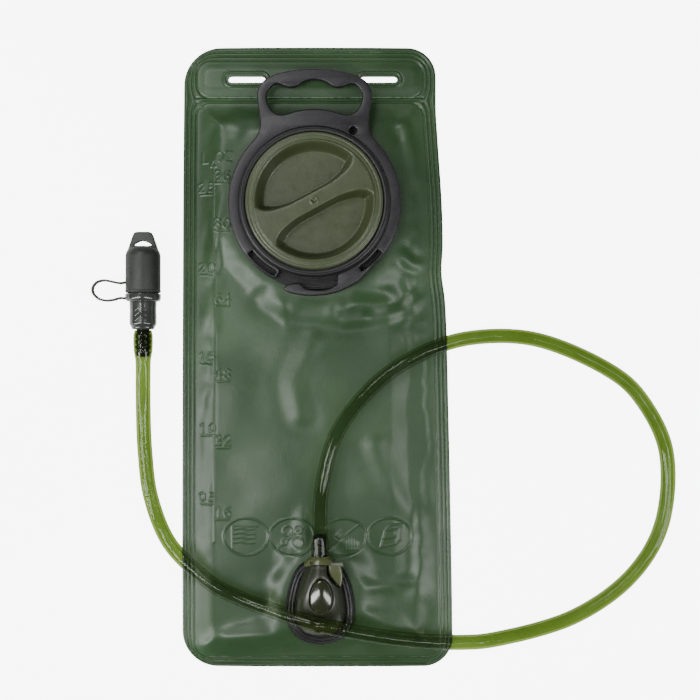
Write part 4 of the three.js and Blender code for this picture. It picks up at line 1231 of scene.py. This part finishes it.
def make_cap():
    rim = circle_points(CAP_RADIUS, 0.8)
    low, high = rim.min(0), rim.max(0)
    coarse, fine = lattice(low, high, 1.1, 11), lattice(low, high, 0.42, 12)
    points = np.vstack([coarse[~busy(coarse)], fine[busy(fine)]])
    points = points[port_radius(points) < CAP_RADIUS - 1.5]
    bevel = [circle_points(CAP_RADIUS - d, 0.8) for d in (0.05, 0.15, 0.32, 0.55, 0.85, 1.2)]
    under = [circle_points(r, 1.2) for r in (6, 14, 22, 30, 36.4, 36.6, 38.6, 38.8, 39.1, 42)]
    top = np.vstack([points, *bevel])
    cap = relief("screw_cap_body", [rim], top, np.vstack(under), cap_top, cap_under)
    sharp_edges(cap, 60)
    finish_piece(cap, CAP_OLIVE, "cap", "cap_olive", "screw_cap")
    thread = helix_rib("screw_cap_thread", 39.0, 40.7, 8.0)
    finish_piece(thread, CAP_OLIVE, "cap", "cap_olive")


make_port()
make_handle()
make_cap()


# ---------------------------------------------------------------- outlet valve

PLUG_X, PLUG_Z = PLUG[0], PLUG[2]


def make_flange():
    loops = boundary_loops("outlet_flange", FLANGE_LOW[2])
    outline = softened(loops[0], 0.6, 1.2)
    hole = even_steps(loops[1], 0.8, closed=True)
    low, high = FLANGE_LOW[:2], FLANGE_HIGH[:2]
    base, top = FLANGE_LOW[2], FLANGE_LOW[2] + 1.7

    def height(p):
        d = distance_to(p, outline)
        ribs = sum(bell(d - at, 0.5) for at in (0.9, 2.9, 4.9))
        return top - 0.7 * (1 - smoothstep(d / 0.7)) + 0.7 * ribs * (d < 6)

    points = between(lattice(low, high, 0.5, 21), outline, [hole], 0.25, 0.4)
    coarse = between(lattice(low, high, 3, 22), outline, [hole], 1)
    flange = relief("outlet_flange_body", [outline, hole], points, coarse, height, level(base))
    finish_piece(flange, PORT_BLACK, "pouch", "port_black", "outlet_flange")


# Half width and top height of the housing at shares of its length, from the round end to the plug.
HOUSING_SHAPE = [
    (0.0, 0.30, 0.07), (0.035, 0.60, 0.18), (0.107, 0.82, 0.34), (0.213, 0.96, 0.62), (0.341, 1.0, 0.82),
    (0.48, 0.97, 0.94), (0.629, 0.90, 1.0), (0.80, 0.76, 0.98), (0.928, 0.625, 0.92), (1.0, 0.53, 0.87),
]
HOUSING_TOP = 27.0
NOSE = 2.6  # how far the housing's round top end reaches over the collar
LONG, TALL = 60, 20  # rough size of the housing, so that the curve through its shape is even


def housing_section(y):
    """Half width and top of the housing at each y."""
    share = np.clip((y - HOUSING_LOW[1]) / (HOUSING_HIGH - HOUSING_LOW)[1], 0, 1)
    curve = spline([(s * LONG, h * TALL, t * TALL) for s, h, t in HOUSING_SHAPE], 8)
    half = np.interp(share * LONG, curve[:, 0], curve[:, 1] / TALL) * (HOUSING_HIGH[0] - PLUG_X)
    rise = np.interp(share * LONG, curve[:, 0], curve[:, 2] / TALL)
    return half, HOUSING_LOW[2] + (HOUSING_TOP - HOUSING_LOW[2]) * rise


def nose_reach(x):
    """How far the nose stands beyond the housing's end at each distance across."""
    half = housing_section(HOUSING_HIGH[1:2])[0]
    return NOSE * np.sqrt(np.clip(1 - (x / half) ** 2, 0, 1))


def housing_height(points):
    half, top = housing_section(points[:, 1])
    top = top - 0.9 * (np.clip(points[:, 1] - HOUSING_HIGH[1], 0, NOSE) / NOSE) ** 2
    across = np.clip(np.abs(points[:, 0] - PLUG_X) / np.maximum(half, 0.1), 0, 1)
    base = HOUSING_LOW[2]
    return base + (top - base) * (1 - across**2.15) ** 0.47


BUTTON = (BUTTON_LOW + BUTTON_HIGH) / 2
BUTTON_HALF = (BUTTON_HIGH - BUTTON_LOW) / 2
BUTTON_GAP = 0.45  # between the button and its pocket
POCKET_DEPTH = 2.9  # of the pocket's floor below the button at rest


def button_outline(grow):
    """The button's egg outline, blunt towards the round end of the housing."""
    half_width = BUTTON_HALF[0] * (1 - 0.17 * np.sin(TURN)) * 0.97 + grow
    half_length = BUTTON_HALF[1] + grow
    return np.stack([BUTTON[0] + half_width * np.cos(TURN), BUTTON[1] + half_length * np.sin(TURN)], 1)


LEVER_LOW, LEVER_HIGH = box_mm("release_lever")
LEVER_PIN = middle("lever_pin")
LEVER_OUTLINE = [
    (-8.4, -1.5), (-4.6, -1.0), (-1.4, -1.6), (-0.35, -4.6), (0.3, -9.2), (-0.2, -13.4),
    (-0.9, -16.0), (-3.4, -14.0), (-6.6, -10.4), (-8.4, -7.2), (-8.9, -4.0),
]
LEVER_GAP = 1.0  # between the lever and its pocket
LEVER_SWING = math.radians(5.5)  # turn of the pocket, most of the way to where the lever is pressed in


def lever_outline(grow):
    p = spline([(LEVER_HIGH[0] + x, LEVER_HIGH[1] + y) for x, y in LEVER_OUTLINE], 6, closed=True)
    centre = p.mean(0)
    reach = np.linalg.norm(p - centre, axis=1)
    return centre + (p - centre) * (1 + grow / reach)[:, None]


def lever_pocket(gap):
    """The lever's outline, a gap wider and swung about its pin."""
    c, s = math.cos(LEVER_SWING), math.sin(LEVER_SWING)
    q = lever_outline(gap) - LEVER_PIN[:2]
    return LEVER_PIN[:2] + np.stack([q[:, 0] * c + q[:, 1] * s, q[:, 1] * c - q[:, 0] * s], 1)


def housing_outline():
    ys = np.linspace(HOUSING_LOW[1], HOUSING_HIGH[1], 70)
    half, _ = housing_section(ys)
    right_side = np.stack([PLUG_X + half, ys], 1)
    left_side = np.stack([PLUG_X - half, ys], 1)[::-1]
    across = half[-1] * np.cos(np.linspace(0, np.pi, 24))[1:-1]
    nose = np.stack([PLUG_X + across, HOUSING_HIGH[1] + nose_reach(across)], 1)
    return even_steps(np.vstack([right_side, nose, left_side]), 0.7, closed=True)


def make_housing():
    outline = housing_outline()
    turn = np.radians(np.linspace(-86.5, 86.5, 76))
    rings = []
    for y in np.arange(HOUSING_LOW[1] + 0.4, HOUSING_HIGH[1] + NOSE - 0.3, 0.55):
        h = housing_section(np.array([y]))[0][0]
        rings.append(np.stack([PLUG_X + h * np.sin(turn), np.full(len(turn), y)], 1))
    points = between(np.vstack(rings), outline, gap=0.25)
    for_button, for_lever = button_outline(BUTTON_GAP), lever_pocket(LEVER_GAP)
    button_gaps = (BUTTON_GAP - 0.15, BUTTON_GAP, BUTTON_GAP + 0.35)
    lever_gaps = (LEVER_GAP - 0.2, LEVER_GAP, LEVER_GAP + 0.3)
    button_edges = np.vstack([even_steps(button_outline(g), 0.5, closed=True) for g in button_gaps])
    lever_edges = np.vstack([even_steps(lever_pocket(g), 0.5, closed=True) for g in lever_gaps])
    apart = (distance_to(points, for_button) > 0.6) & (distance_to(points, for_lever) > 0.6)
    points = np.vstack([points[apart], button_edges, between(lever_edges, outline, gap=0.3)])

    def height(p):
        z = housing_height(p)
        away = signed_distance(p, for_button)
        z = z - 0.35 * bell(away + 0.4, 0.45)
        z = np.where(away > 0.02, np.minimum(z, BUTTON_LOW[2] - POCKET_DEPTH), z)
        gone = signed_distance(p, for_lever)
        z = np.where(gone > 0.02, np.minimum(z, LEVER_LOW[2] - 0.5), z)
        return np.maximum(z, HOUSING_LOW[2] + 0.4)

    coarse = between(lattice(HOUSING_LOW[:2], HOUSING_HIGH[:2], 2.5, 23), outline, gap=0.8)
    housing = relief("outlet_housing_body", [outline], points, coarse, height, level(HOUSING_LOW[2]))
    bore_profile = [(0, -157.0), (4.4, -157.0), (4.4, HOUSING_HIGH[1] + 2), (0, HOUSING_HIGH[1] + 2)]
    cut_away(housing, turned("bore_cutter", bore_profile, "Y", (PLUG_X, 0, PLUG_Z), 48))
    sharp_edges(housing, 38)
    finish_piece(housing, HOUSING_OLIVE, "pouch", "housing_olive", "outlet_housing")


DOME_ACROSS, DOME_ALONG = 11.7, 40  # radii of the button's crown
BUTTON_LIP = 1.1  # radius of its edge


def make_button():
    outline = button_outline(0)
    rows = [button_outline(-d) for d in (0.12, 0.3, 0.6, 1.0, 1.6, 2.3, 3.2, 4.2, 5.4)]
    middle_row = np.array([(BUTTON[0], BUTTON[1] + t) for t in np.linspace(-5.5, 6, 12)])

    def height(p):
        inward = np.clip(BUTTON_LIP - distance_to(p, outline), 0, BUTTON_LIP)
        across, along = p[:, 0] - BUTTON[0], p[:, 1] - BUTTON[1] + 2
        dome = DOME_ACROSS - np.sqrt(DOME_ACROSS**2 - across**2)
        dome += DOME_ALONG - np.sqrt(DOME_ALONG**2 - along**2)
        return BUTTON_HIGH[2] + 0.5 - dome - 0.9 * (BUTTON_LIP - np.sqrt(BUTTON_LIP**2 - inward**2))

    top, under = np.vstack([*rows, middle_row]), level(BUTTON_LOW[2] - 0.4)
    button = relief("release_button_body", [outline], top, middle_row, height, under)
    finish_piece(button, BUTTON_GREEN, "button", "button_green", "release_button")


def make_collar():
    """Domed collar: a turned shape, flattened above and below, with its back edge cut to the nose."""
    back, front = COLLAR_LOW[1], COLLAR_HIGH[1] + 0.6
    wide, high, low = 10.2, 8.2, 6.7  # its radius across, above and below
    arc = [(wide, back), (wide + 0.1, back + 1.2), (wide - 0.3, back + 2.6), (wide - 1.4, back + 4.2)]
    arc += [(wide - 2.9, back + 5.4), (wide - 4.3, front - 0.25), (5.9, front), (5.5, front - 0.4)]
    profile = soft_profile([(4.3, back), *arc, (4.3, front - 0.8)], 0.5)
    collar = turned("plug_collar_body", profile, "Y", (0, 0, 0), 96)
    for v in collar.data.vertices:
        x, z = v.co.x / METRES, v.co.z / METRES
        share = float(smoothstep((math.hypot(x, z) - 5.5) / 4.5))
        squeeze = 1 - share * (1 - (high if z > 0 else low) / wide)
        y = max(v.co.y / METRES, HOUSING_HIGH[1] + 0.15 + float(nose_reach(np.array([x]))[0]))
        v.co = Vector((x + PLUG_X, y, PLUG_Z + z * squeeze)) * METRES
    dimple = [(0, 20.6), (0.5, 20.7), (1.15, 21.3), (1.25, 22.5), (1.25, 30), (0, 30)]
    place = (PLUG_X - 5.2, (back + front) / 2 + 0.2, 0)
    cut_away(collar, turned("dimple_cutter", dimple, "Z", place, 32))
    sharp_edges(collar, 40)
    finish_piece(collar, KHAKI, "plug", "khaki", "plug_collar")


def make_lever():
    """Leaf lever with a rounded crossbar over its pivot."""
    low, high = LEVER_LOW[2] + 0.3, LEVER_HIGH[2] + 0.6
    leaf = plate("release_lever_leaf", [lever_outline(0)], low, high, 1.2)
    finish_piece(leaf, KHAKI, "lever", "khaki", "release_lever")
    profile = [(0, 0), (1.25, 0), (1.4, 0.8), (1.2, 3.2), (1.35, 8.3), (1.6, 8.5), (1.6, 9.3), (0, 9.3)]
    bar = turned("release_lever_crossbar", soft_profile(profile, 0.3), "Z", (0, 0, 0), 40)
    place = Vector((LEVER_HIGH[0] - 8.8, LEVER_HIGH[1] - 1.3, LEVER_HIGH[2] + 0.2)) * METRES
    for v in bar.data.vertices:
        v.co = v.co.zyx + place
    bar.data.flip_normals()
    finish_piece(bar, CROSSBAR_HIGHLIGHT_GREY, "lever", "khaki")


def barb_profile(tip, ridges, direction):
    """Outer profile of a hose barb from its tip. Each ridge is a (radius, distance from the tip) pair."""
    profile = [(1.9, 0), (3.5, 0), (3.9, 0.3)]
    for radius, at in ridges:
        profile += [(radius - 0.05, at - 0.5), (radius, at)]
        profile += [(radius - 0.15, at + 0.25), (radius - 0.95, at + 0.55)]
    return [(r, tip + direction * d) for r, d in profile]


def make_plug():
    barb = barb_profile(-117.0, [(4.55, 2.6), (4.75, 6.1), (4.8, 9.6), (4.8, 13.0)], -1)
    nose = [(3.9, -131.3), (3.9, -143.8), (3.0, -143.8), (3.0, -146.2)]
    nose += [(3.9, -146.2), (3.9, -151.4), (3.3, -152.4), (1.9, -152.4)]
    stem = turned("plug_stem_body", barb + nose, "Y", (PLUG_X, 0, PLUG_Z), 64)
    finish_piece(stem, BARB_BLACK, "plug", "seal_black", "plug_stem")


make_flange()
make_housing()
make_button()
make_collar()
make_lever()
make_plug()


# ---------------------------------------------------------------- hose

# Centreline of the hose in the pouch's frame, from the outlet to the bite valve.
HOSE_PATH = [
    (3.6, -131, 16.5), (3.6, -124, 16.5), (3.6, -116.5, 16.4), (4.6, -89, 12.6), (14.7, -51, 12.4),
    (41.7, -17.4, 12.4), (72.6, 2.2, 11.3), (104, 11.4, 6.2), (147, 10.1, 5.15), (199.6, -13.2, 4.97),
    (216.5, -29.9, 4.95), (232.3, -63, 4.95), (229.3, -112.7, 4.95), (209.7, -145.8, 4.97),
    (171.9, -172.9, 5.12), (119, -188, 5.8), (100, -189.4, 7.6), (60, -185.6, 15.6), (5.7, -173.4, 27),
    (-10, -169.6, 25), (-28, -165.4, 18.2), (-46, -160, 13.8), (-63, -152.6, 12.4), (-76, -143.4, 11),
    (-96.3, -123.8, 6.4), (-108.4, -94.2, 5.6), (-112.5, -64, 4.95), (-113.4, -35, 6.2),
    (-112.4, -5, 11.6), (-112.4, 6, 11.7), (-112.4, 16.2, 11.7),
]
HOSE_CUT = 4  # the path's point where its two tubes meet
HOSE_STEPS = 24  # steps between two points of the path
HOSE_RADIUS, HOSE_BORE = 4.9, 3.3
# The hose swells over the barbs at its two ends: y, outer radius and bore.
OVER_PLUG = np.array(
    [(-132, 5.75, 4.85), (-118.5, 5.7, 4.8), (-116.5, 5.45, 4.3), (-113, 5.0, 3.4), (-109, 4.9, 3.3)]
)
OVER_BITE = np.array([
    (-7, 4.9, 3.3), (-3, 5.05, 3.6), (0, 5.6, 4.6), (3, 6.15, 5.25),
    (8, 6.35, 5.4), (13, 6.3, 5.35), (15.2, 5.8, 5.0), (16.3, 5.6, 4.9),
])


def hose_radii(line):
    """Outer radius and bore along the hose."""
    x, y, z = line.T
    outer = np.full(len(line), HOSE_RADIUS)
    bore = np.full(len(line), HOSE_BORE)
    at_plug = (np.abs(x - PLUG_X) < 2) & (y < -100) & (z > 12)
    at_bite = (x < -100) & (y > -12)
    for there, table in ((at_plug, OVER_PLUG), (at_bite, OVER_BITE)):
        outer[there] = np.interp(y[there], table[:, 0], table[:, 1])
        bore[there] = np.interp(y[there], table[:, 0], table[:, 2])
    return outer, bore


def make_hose():
    whole = spline(HOSE_PATH, HOSE_STEPS)
    cut = HOSE_CUT * HOSE_STEPS
    first, second = even_steps(whole[: cut + 1], 1.2), even_steps(whole[cut:], 1.5)
    near = tube("hose_at_plug", first, *hose_radii(first), open_ends=("end",))
    far = tube("hose_loop_and_drinking_end", second, *hose_radii(second), open_ends=("start",))
    finish_piece(near, HOSE_CLEAR, None, "hose", "hose_plug_end")
    finish_piece(far, HOSE_CLEAR, None, "hose", "hose_loop", "hose_drink_end")
    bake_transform(near)
    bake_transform(far)


make_hose()

# ---------------------------------------------------------------- bite valve

BITE_X, BITE_Z = BITE[0], BITE[2]
BITE_AXIS = (BITE_X, 0, BITE_Z)
BARREL = 8.6  # radius of the sleeve where it carries its chevrons


def make_bite_valve():
    barb = barb_profile(-1.2, [(4.7, 3.2), (5.2, 6.9), (5.25, 10.6), (5.25, 14.3)], 1)
    top = [(4.3, 16.6), (5.4, 16.9), (5.4, 18.9), (4.2, 19.3), (4.2, 21.4)]
    top += [(3.3, 21.4), (3.3, 23.8), (4.2, 23.8), (4.2, 26), (1.9, 26)]
    stem = turned("valve_stem_body", barb + top, "Y", BITE_AXIS, 64)
    finish_piece(stem, BARB_BLACK, "drink_end", "seal_black", "valve_stem")
    low, high = SLEEVE_LOW[1], SLEEVE_HIGH[1]
    outside = [
        (5.9, low), (6.9, low), (7.5, low + 0.9), (7.6, low + 1.6), (8.5, low + 3.0), (8.75, low + 3.8),
        (8.75, low + 8), (8.6, low + 12), (8.8, low + 17), (8.8, low + 18.8), (8.2, low + 19.4),
        (6.2, low + 19.4), (6.2, high - 1), (5.4, high), (3, high), (3, 28), (4.7, 27.4), (4.7, 19.6),
        (5.9, 19.2),
    ]
    sleeve = turned("shutoff_sleeve_body", soft_profile(outside, 0.5), "Y", BITE_AXIS)
    finish_piece(sleeve, VALVE_GREY, "bite_valve", "valve_grey", "shutoff_sleeve")
    for k in range(3):
        chevron = chevron_rib("sleeve_chevron_%d" % (k + 1), low + 6.2 + 3.3 * k)
        finish_piece(chevron, VALVE_GREY, "bite_valve", "valve_grey")


def chevron_rib(name, y0):
    """A raised V wrapped onto the upper side of the sleeve."""
    across = np.linspace(-3.6, 3.6, 15)
    verts = []
    for offset, lift in ((-0.75, -0.3), (-0.45, 0.38), (0.0, 0.5), (0.45, 0.38), (0.75, -0.3)):
        for s in across:
            y, r = y0 + 2.2 - abs(s) * 0.75 + offset, BARREL + lift
            verts.append((BITE_X + r * math.sin(s / BARREL), y, BITE_Z + r * math.cos(s / BARREL)))
    n = len(across)
    rows = [(r * n, (r + 1) * n) for r in range(4)]
    faces = [(a + i, a + i + 1, b + i + 1, b + i) for a, b in rows for i in range(n - 1)]
    faces += [(4 * n + i, 4 * n + i + 1, i + 1, i) for i in range(n - 1)]
    faces += [tuple(r * n for r in range(5)), tuple(r * n + n - 1 for r in reversed(range(5)))]
    return closed_body(mesh_object(name, verts, faces), 50)


def mirrored(half):
    """Points down the right side and back up the left, given the right side."""
    return half + [(-x, y) for x, y in reversed(half)]


def make_cover():
    low, tab_top = COVER_LOW[1], COVER_HIGH[1]
    radius = (COVER_HIGH - COVER_LOW)[0] / 2
    shoulder = low + 24.3
    crown = (0, shoulder + 6.4)
    shell = [
        (9.7, low), (radius - 0.5, low), (radius, low + 0.5), (radius, shoulder),
        (radius - 0.45, shoulder + 2.2), (radius - 1.7, shoulder + 4.3), (radius - 3.4, shoulder + 5.6),
        (5, shoulder + 6.2), crown,
    ]
    inner = [(0, shoulder + 4.3), (4, shoulder + 4.3), (8, shoulder + 3), (9.7, shoulder - 0.4), (9.7, low)]
    profile = [crown] + soft_profile(shell, 0.8)[::-1][1:] + inner[::-1][1:]
    cover = turned("dust_cover_shell", profile, "Y", BITE_AXIS)
    finish_piece(cover, COVER_GREY, "cover", "valve_grey", "dust_cover")

    # the tab's foot is arched to stay out of the room for the mouthpiece
    sides = [(11.0, shoulder + 0.8), (8.6, tab_top - 8), (6.7, tab_top - 2.4), (5.6, tab_top - 0.5)]
    foot = [(10.6, shoulder - 1.5), (10.0, shoulder + 1.4), (8.5, shoulder + 3.7), (4.5, shoulder + 5)]
    edge = mirrored(sides + [(3.8, tab_top)])
    edge += [(-x, y) for x, y in foot] + [(0, shoulder + 5.3)] + foot[::-1]
    window = [(-5.6, tab_top - 8.8), (-3.2, tab_top - 7.2), (0, tab_top - 6.2), (3.2, tab_top - 7.2)]
    window += [(5.6, tab_top - 8.8), (3.0, tab_top - 9.35), (0, tab_top - 9.55), (-3.0, tab_top - 9.35)]
    outline = softened(np.array(edge), 0.4, 0.8) + (BITE_X, 0)
    opening = even_steps(spline(window, 6, closed=True), 0.4, closed=True) + (BITE_X, 0)
    tab = plate("dust_cover_tab", [outline, opening], BITE_Z - 1.8, BITE_Z + 1.8, 0.9)
    finish_piece(tab, COVER_GREY, "cover", "valve_grey")

    band = [(radius - 0.3, low + 0.6), (radius + 0.28, low + 1.0), (radius + 0.3, low + 1.6)]
    band += [(radius - 0.3, low + 2.1)]
    lip = turned("dust_cover_lip", soft_profile(band, 0.3), "Y", BITE_AXIS)
    finish_piece(lip, COVER_GREY, "cover", "valve_grey")


# The strap's loop across the valve, from the ring to the cover, and its section.
STRAP_PATH = [
    (-11.4, 37.1), (-15.1, 37.3), (-19.1, 36.2), (-24.2, 35.7), (-29, 36.9), (-32.4, 40.2), (-33, 43.8),
    (-30.4, 47.5), (-25.8, 48.9), (-19.6, 47.9), (-15.1, 47.1), (-11.4, 47.6),
]
STRAP_SECTION = [
    (0.8, 1.2), (0.5, 1.55), (-0.5, 1.55), (-0.8, 1.2),
    (-0.8, -1.2), (-0.5, -1.55), (0.5, -1.55), (0.8, -1.2),
]


def make_tether():
    low, high = RING_LOW[1], RING_HIGH[1]
    radius = (RING_HIGH - RING_LOW)[0] / 2
    profile = [(9.1, low), (10.2, low), (10.9, low + 0.35), (radius - 0.15, low + 1.3), (radius, low + 2.2)]
    profile += [(radius, high - 0.6), (radius - 0.4, high - 0.1), (9.1, high - 0.1)]
    ring = turned("tether_ring_body", soft_profile(profile, 0.4), "Y", BITE_AXIS)
    finish_piece(ring, VALVE_GREY, "tether", "valve_grey", "tether_ring")
    line = even_steps(spline([(x + BITE_X, y) for x, y in STRAP_PATH], 10), 0.8)
    along = np.gradient(line, axis=0)
    along /= np.linalg.norm(along, axis=1)[:, None]
    across = np.stack([-along[:, 1], along[:, 0]], 1)
    verts = []
    for centre, side in zip(line, across):
        verts.extend((*(centre + side * s), BITE_Z + u) for s, u in STRAP_SECTION)
    faces = ring_faces(len(line), len(STRAP_SECTION))
    faces += [tuple(range(8)), tuple((len(line) - 1) * 8 + k for k in reversed(range(8)))]
    strap = mesh_object("tether_strap_ribbon", verts, faces)
    face_outwards(strap)
    finish_piece(strap, STRAP_GREY, None, "strap_grey", "tether_strap")
    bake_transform(strap)


make_bite_valve()
make_cover()
make_tether()

# ---------------------------------------------------------------- inner pieces that keep their CAD shape

KEPT = {
    "cap_gasket": SILICONE,
    "button_spring": STEEL,
    "valve_poppet": KHAKI,
    "poppet_spring": STEEL,
    "plug_o_ring": SEAL_BLACK,
    "lever_pin": STEEL,
    "stem_o_ring": SEAL_BLACK,
    "mouthpiece": SILICONE,
}
for node_name, material in KEPT.items():
    node = NODES[node_name]
    node.data.materials.clear()
    node.data.materials.append(material)
    round_edges(node, 0.15)


# ---------------------------------------------------------------- stage


def soft_light(name, place, size, power):
    data = bpy.data.lights.new(name, "AREA")
    data.shape = "RECTANGLE"
    data.size, data.size_y = size
    data.energy = power
    light = added(name, data)
    light.location = place
    light.rotation_euler = (-Vector(place)).to_track_quat("-Z", "Y").to_euler()


# Brightness of the paper where the camera sees it bare, where it sees it through the clear hose (painted
# shadow of the hose), and as it lights and is mirrored in the object.
PAPER_BARE, PAPER_IN_HOSE_SHADOW, PAPER_SPILL = 7.5, 0.42, 0.35
HOSE_SHADOW_TINT = (0.33, 0.45, 0.085)  # painted shadow colour: the paper's tone where the camera sees it through the hose


def paper_material():
    """Overexposed white paper, which would otherwise flood the object's glossy edges. Seen through the hose,
    it is painted darker and green as the hose's shadow.
    """
    paper = Recipe("Pale floor")
    tone = paper.ramp(paper.noise(3, 2, 0.4), [(0.3, 0.88), (0.7, 0.92)])
    path = paper.add("ShaderNodeLightPath").outputs
    depth = path["Transparent Depth"]
    # painted shadow: where the camera sees the paper through the hose, it turns darker and green
    tone = paper.mix(paper.spread(depth, 0.0, 1.0, 0, 1), tone, HOSE_SHADOW_TINT)
    seen = paper.spread(depth, PAPER_BARE, PAPER_IN_HOSE_SHADOW, 0, 1)
    glow = paper.add("ShaderNodeMix", data_type="FLOAT")
    paper.link(path["Is Camera Ray"], glow.inputs[0])
    glow.inputs[2].default_value = PAPER_SPILL
    paper.link(seen, glow.inputs[3])
    paper.set(Base_Color=tone, Roughness=0.9, Emission_Color=tone, Emission_Strength=glow.outputs[0])
    return paper.material


FLOOR_HALF = 4.0
FLOOR_GAP = 0.0003  # keeps the floor just clear of the object
WORLD_LIGHT = 0.12


def make_stage():
    half, z = FLOOR_HALF, CAD_BOX[0].z - FLOOR_GAP
    ground = bpy.data.meshes.new("floor")
    corners = [(-half, -half, z), (half, -half, z), (half, half, z), (-half, half, z)]
    ground.from_pydata(corners, [], [(0, 1, 2, 3)])
    floor = added("floor", ground)
    floor.data.materials.append(paper_material())

    world = bpy.data.worlds.new("Studio")
    world.use_nodes = True
    sky = world.node_tree.nodes["Background"].inputs
    sky[0].default_value = (1, 1, 1, 1)
    sky[1].default_value = WORLD_LIGHT
    bpy.context.scene.world = world
    soft_light("Left softbox", (-0.88, -0.33, 1.0), (0.3, 1.65), 21.5)
    soft_light("Right softbox", (0.92, -0.4, 1.05), (0.28, 1.5), 13)
    soft_light("Upper left softbox", (-0.38, 0.6, 1.15), (0.45, 0.35), 4.5)


CAMERA_SHIFT = (-0.0230, 0.0047)  # from the middle of the layout
CAMERA_HEIGHT = 0.700


def make_camera():
    """The camera looks straight down."""
    low, high = CAD_BOX
    data = bpy.data.cameras.new("Camera")
    data.lens = 54
    data.sensor_width = 36
    camera = added("Camera", data)
    x, y = (low.x + high.x) / 2 + CAMERA_SHIFT[0], (low.y + high.y) / 2 + CAMERA_SHIFT[1]
    camera.location = (x, y, low.z + CAMERA_HEIGHT)
    bpy.context.scene.camera = camera


make_stage()
make_camera()
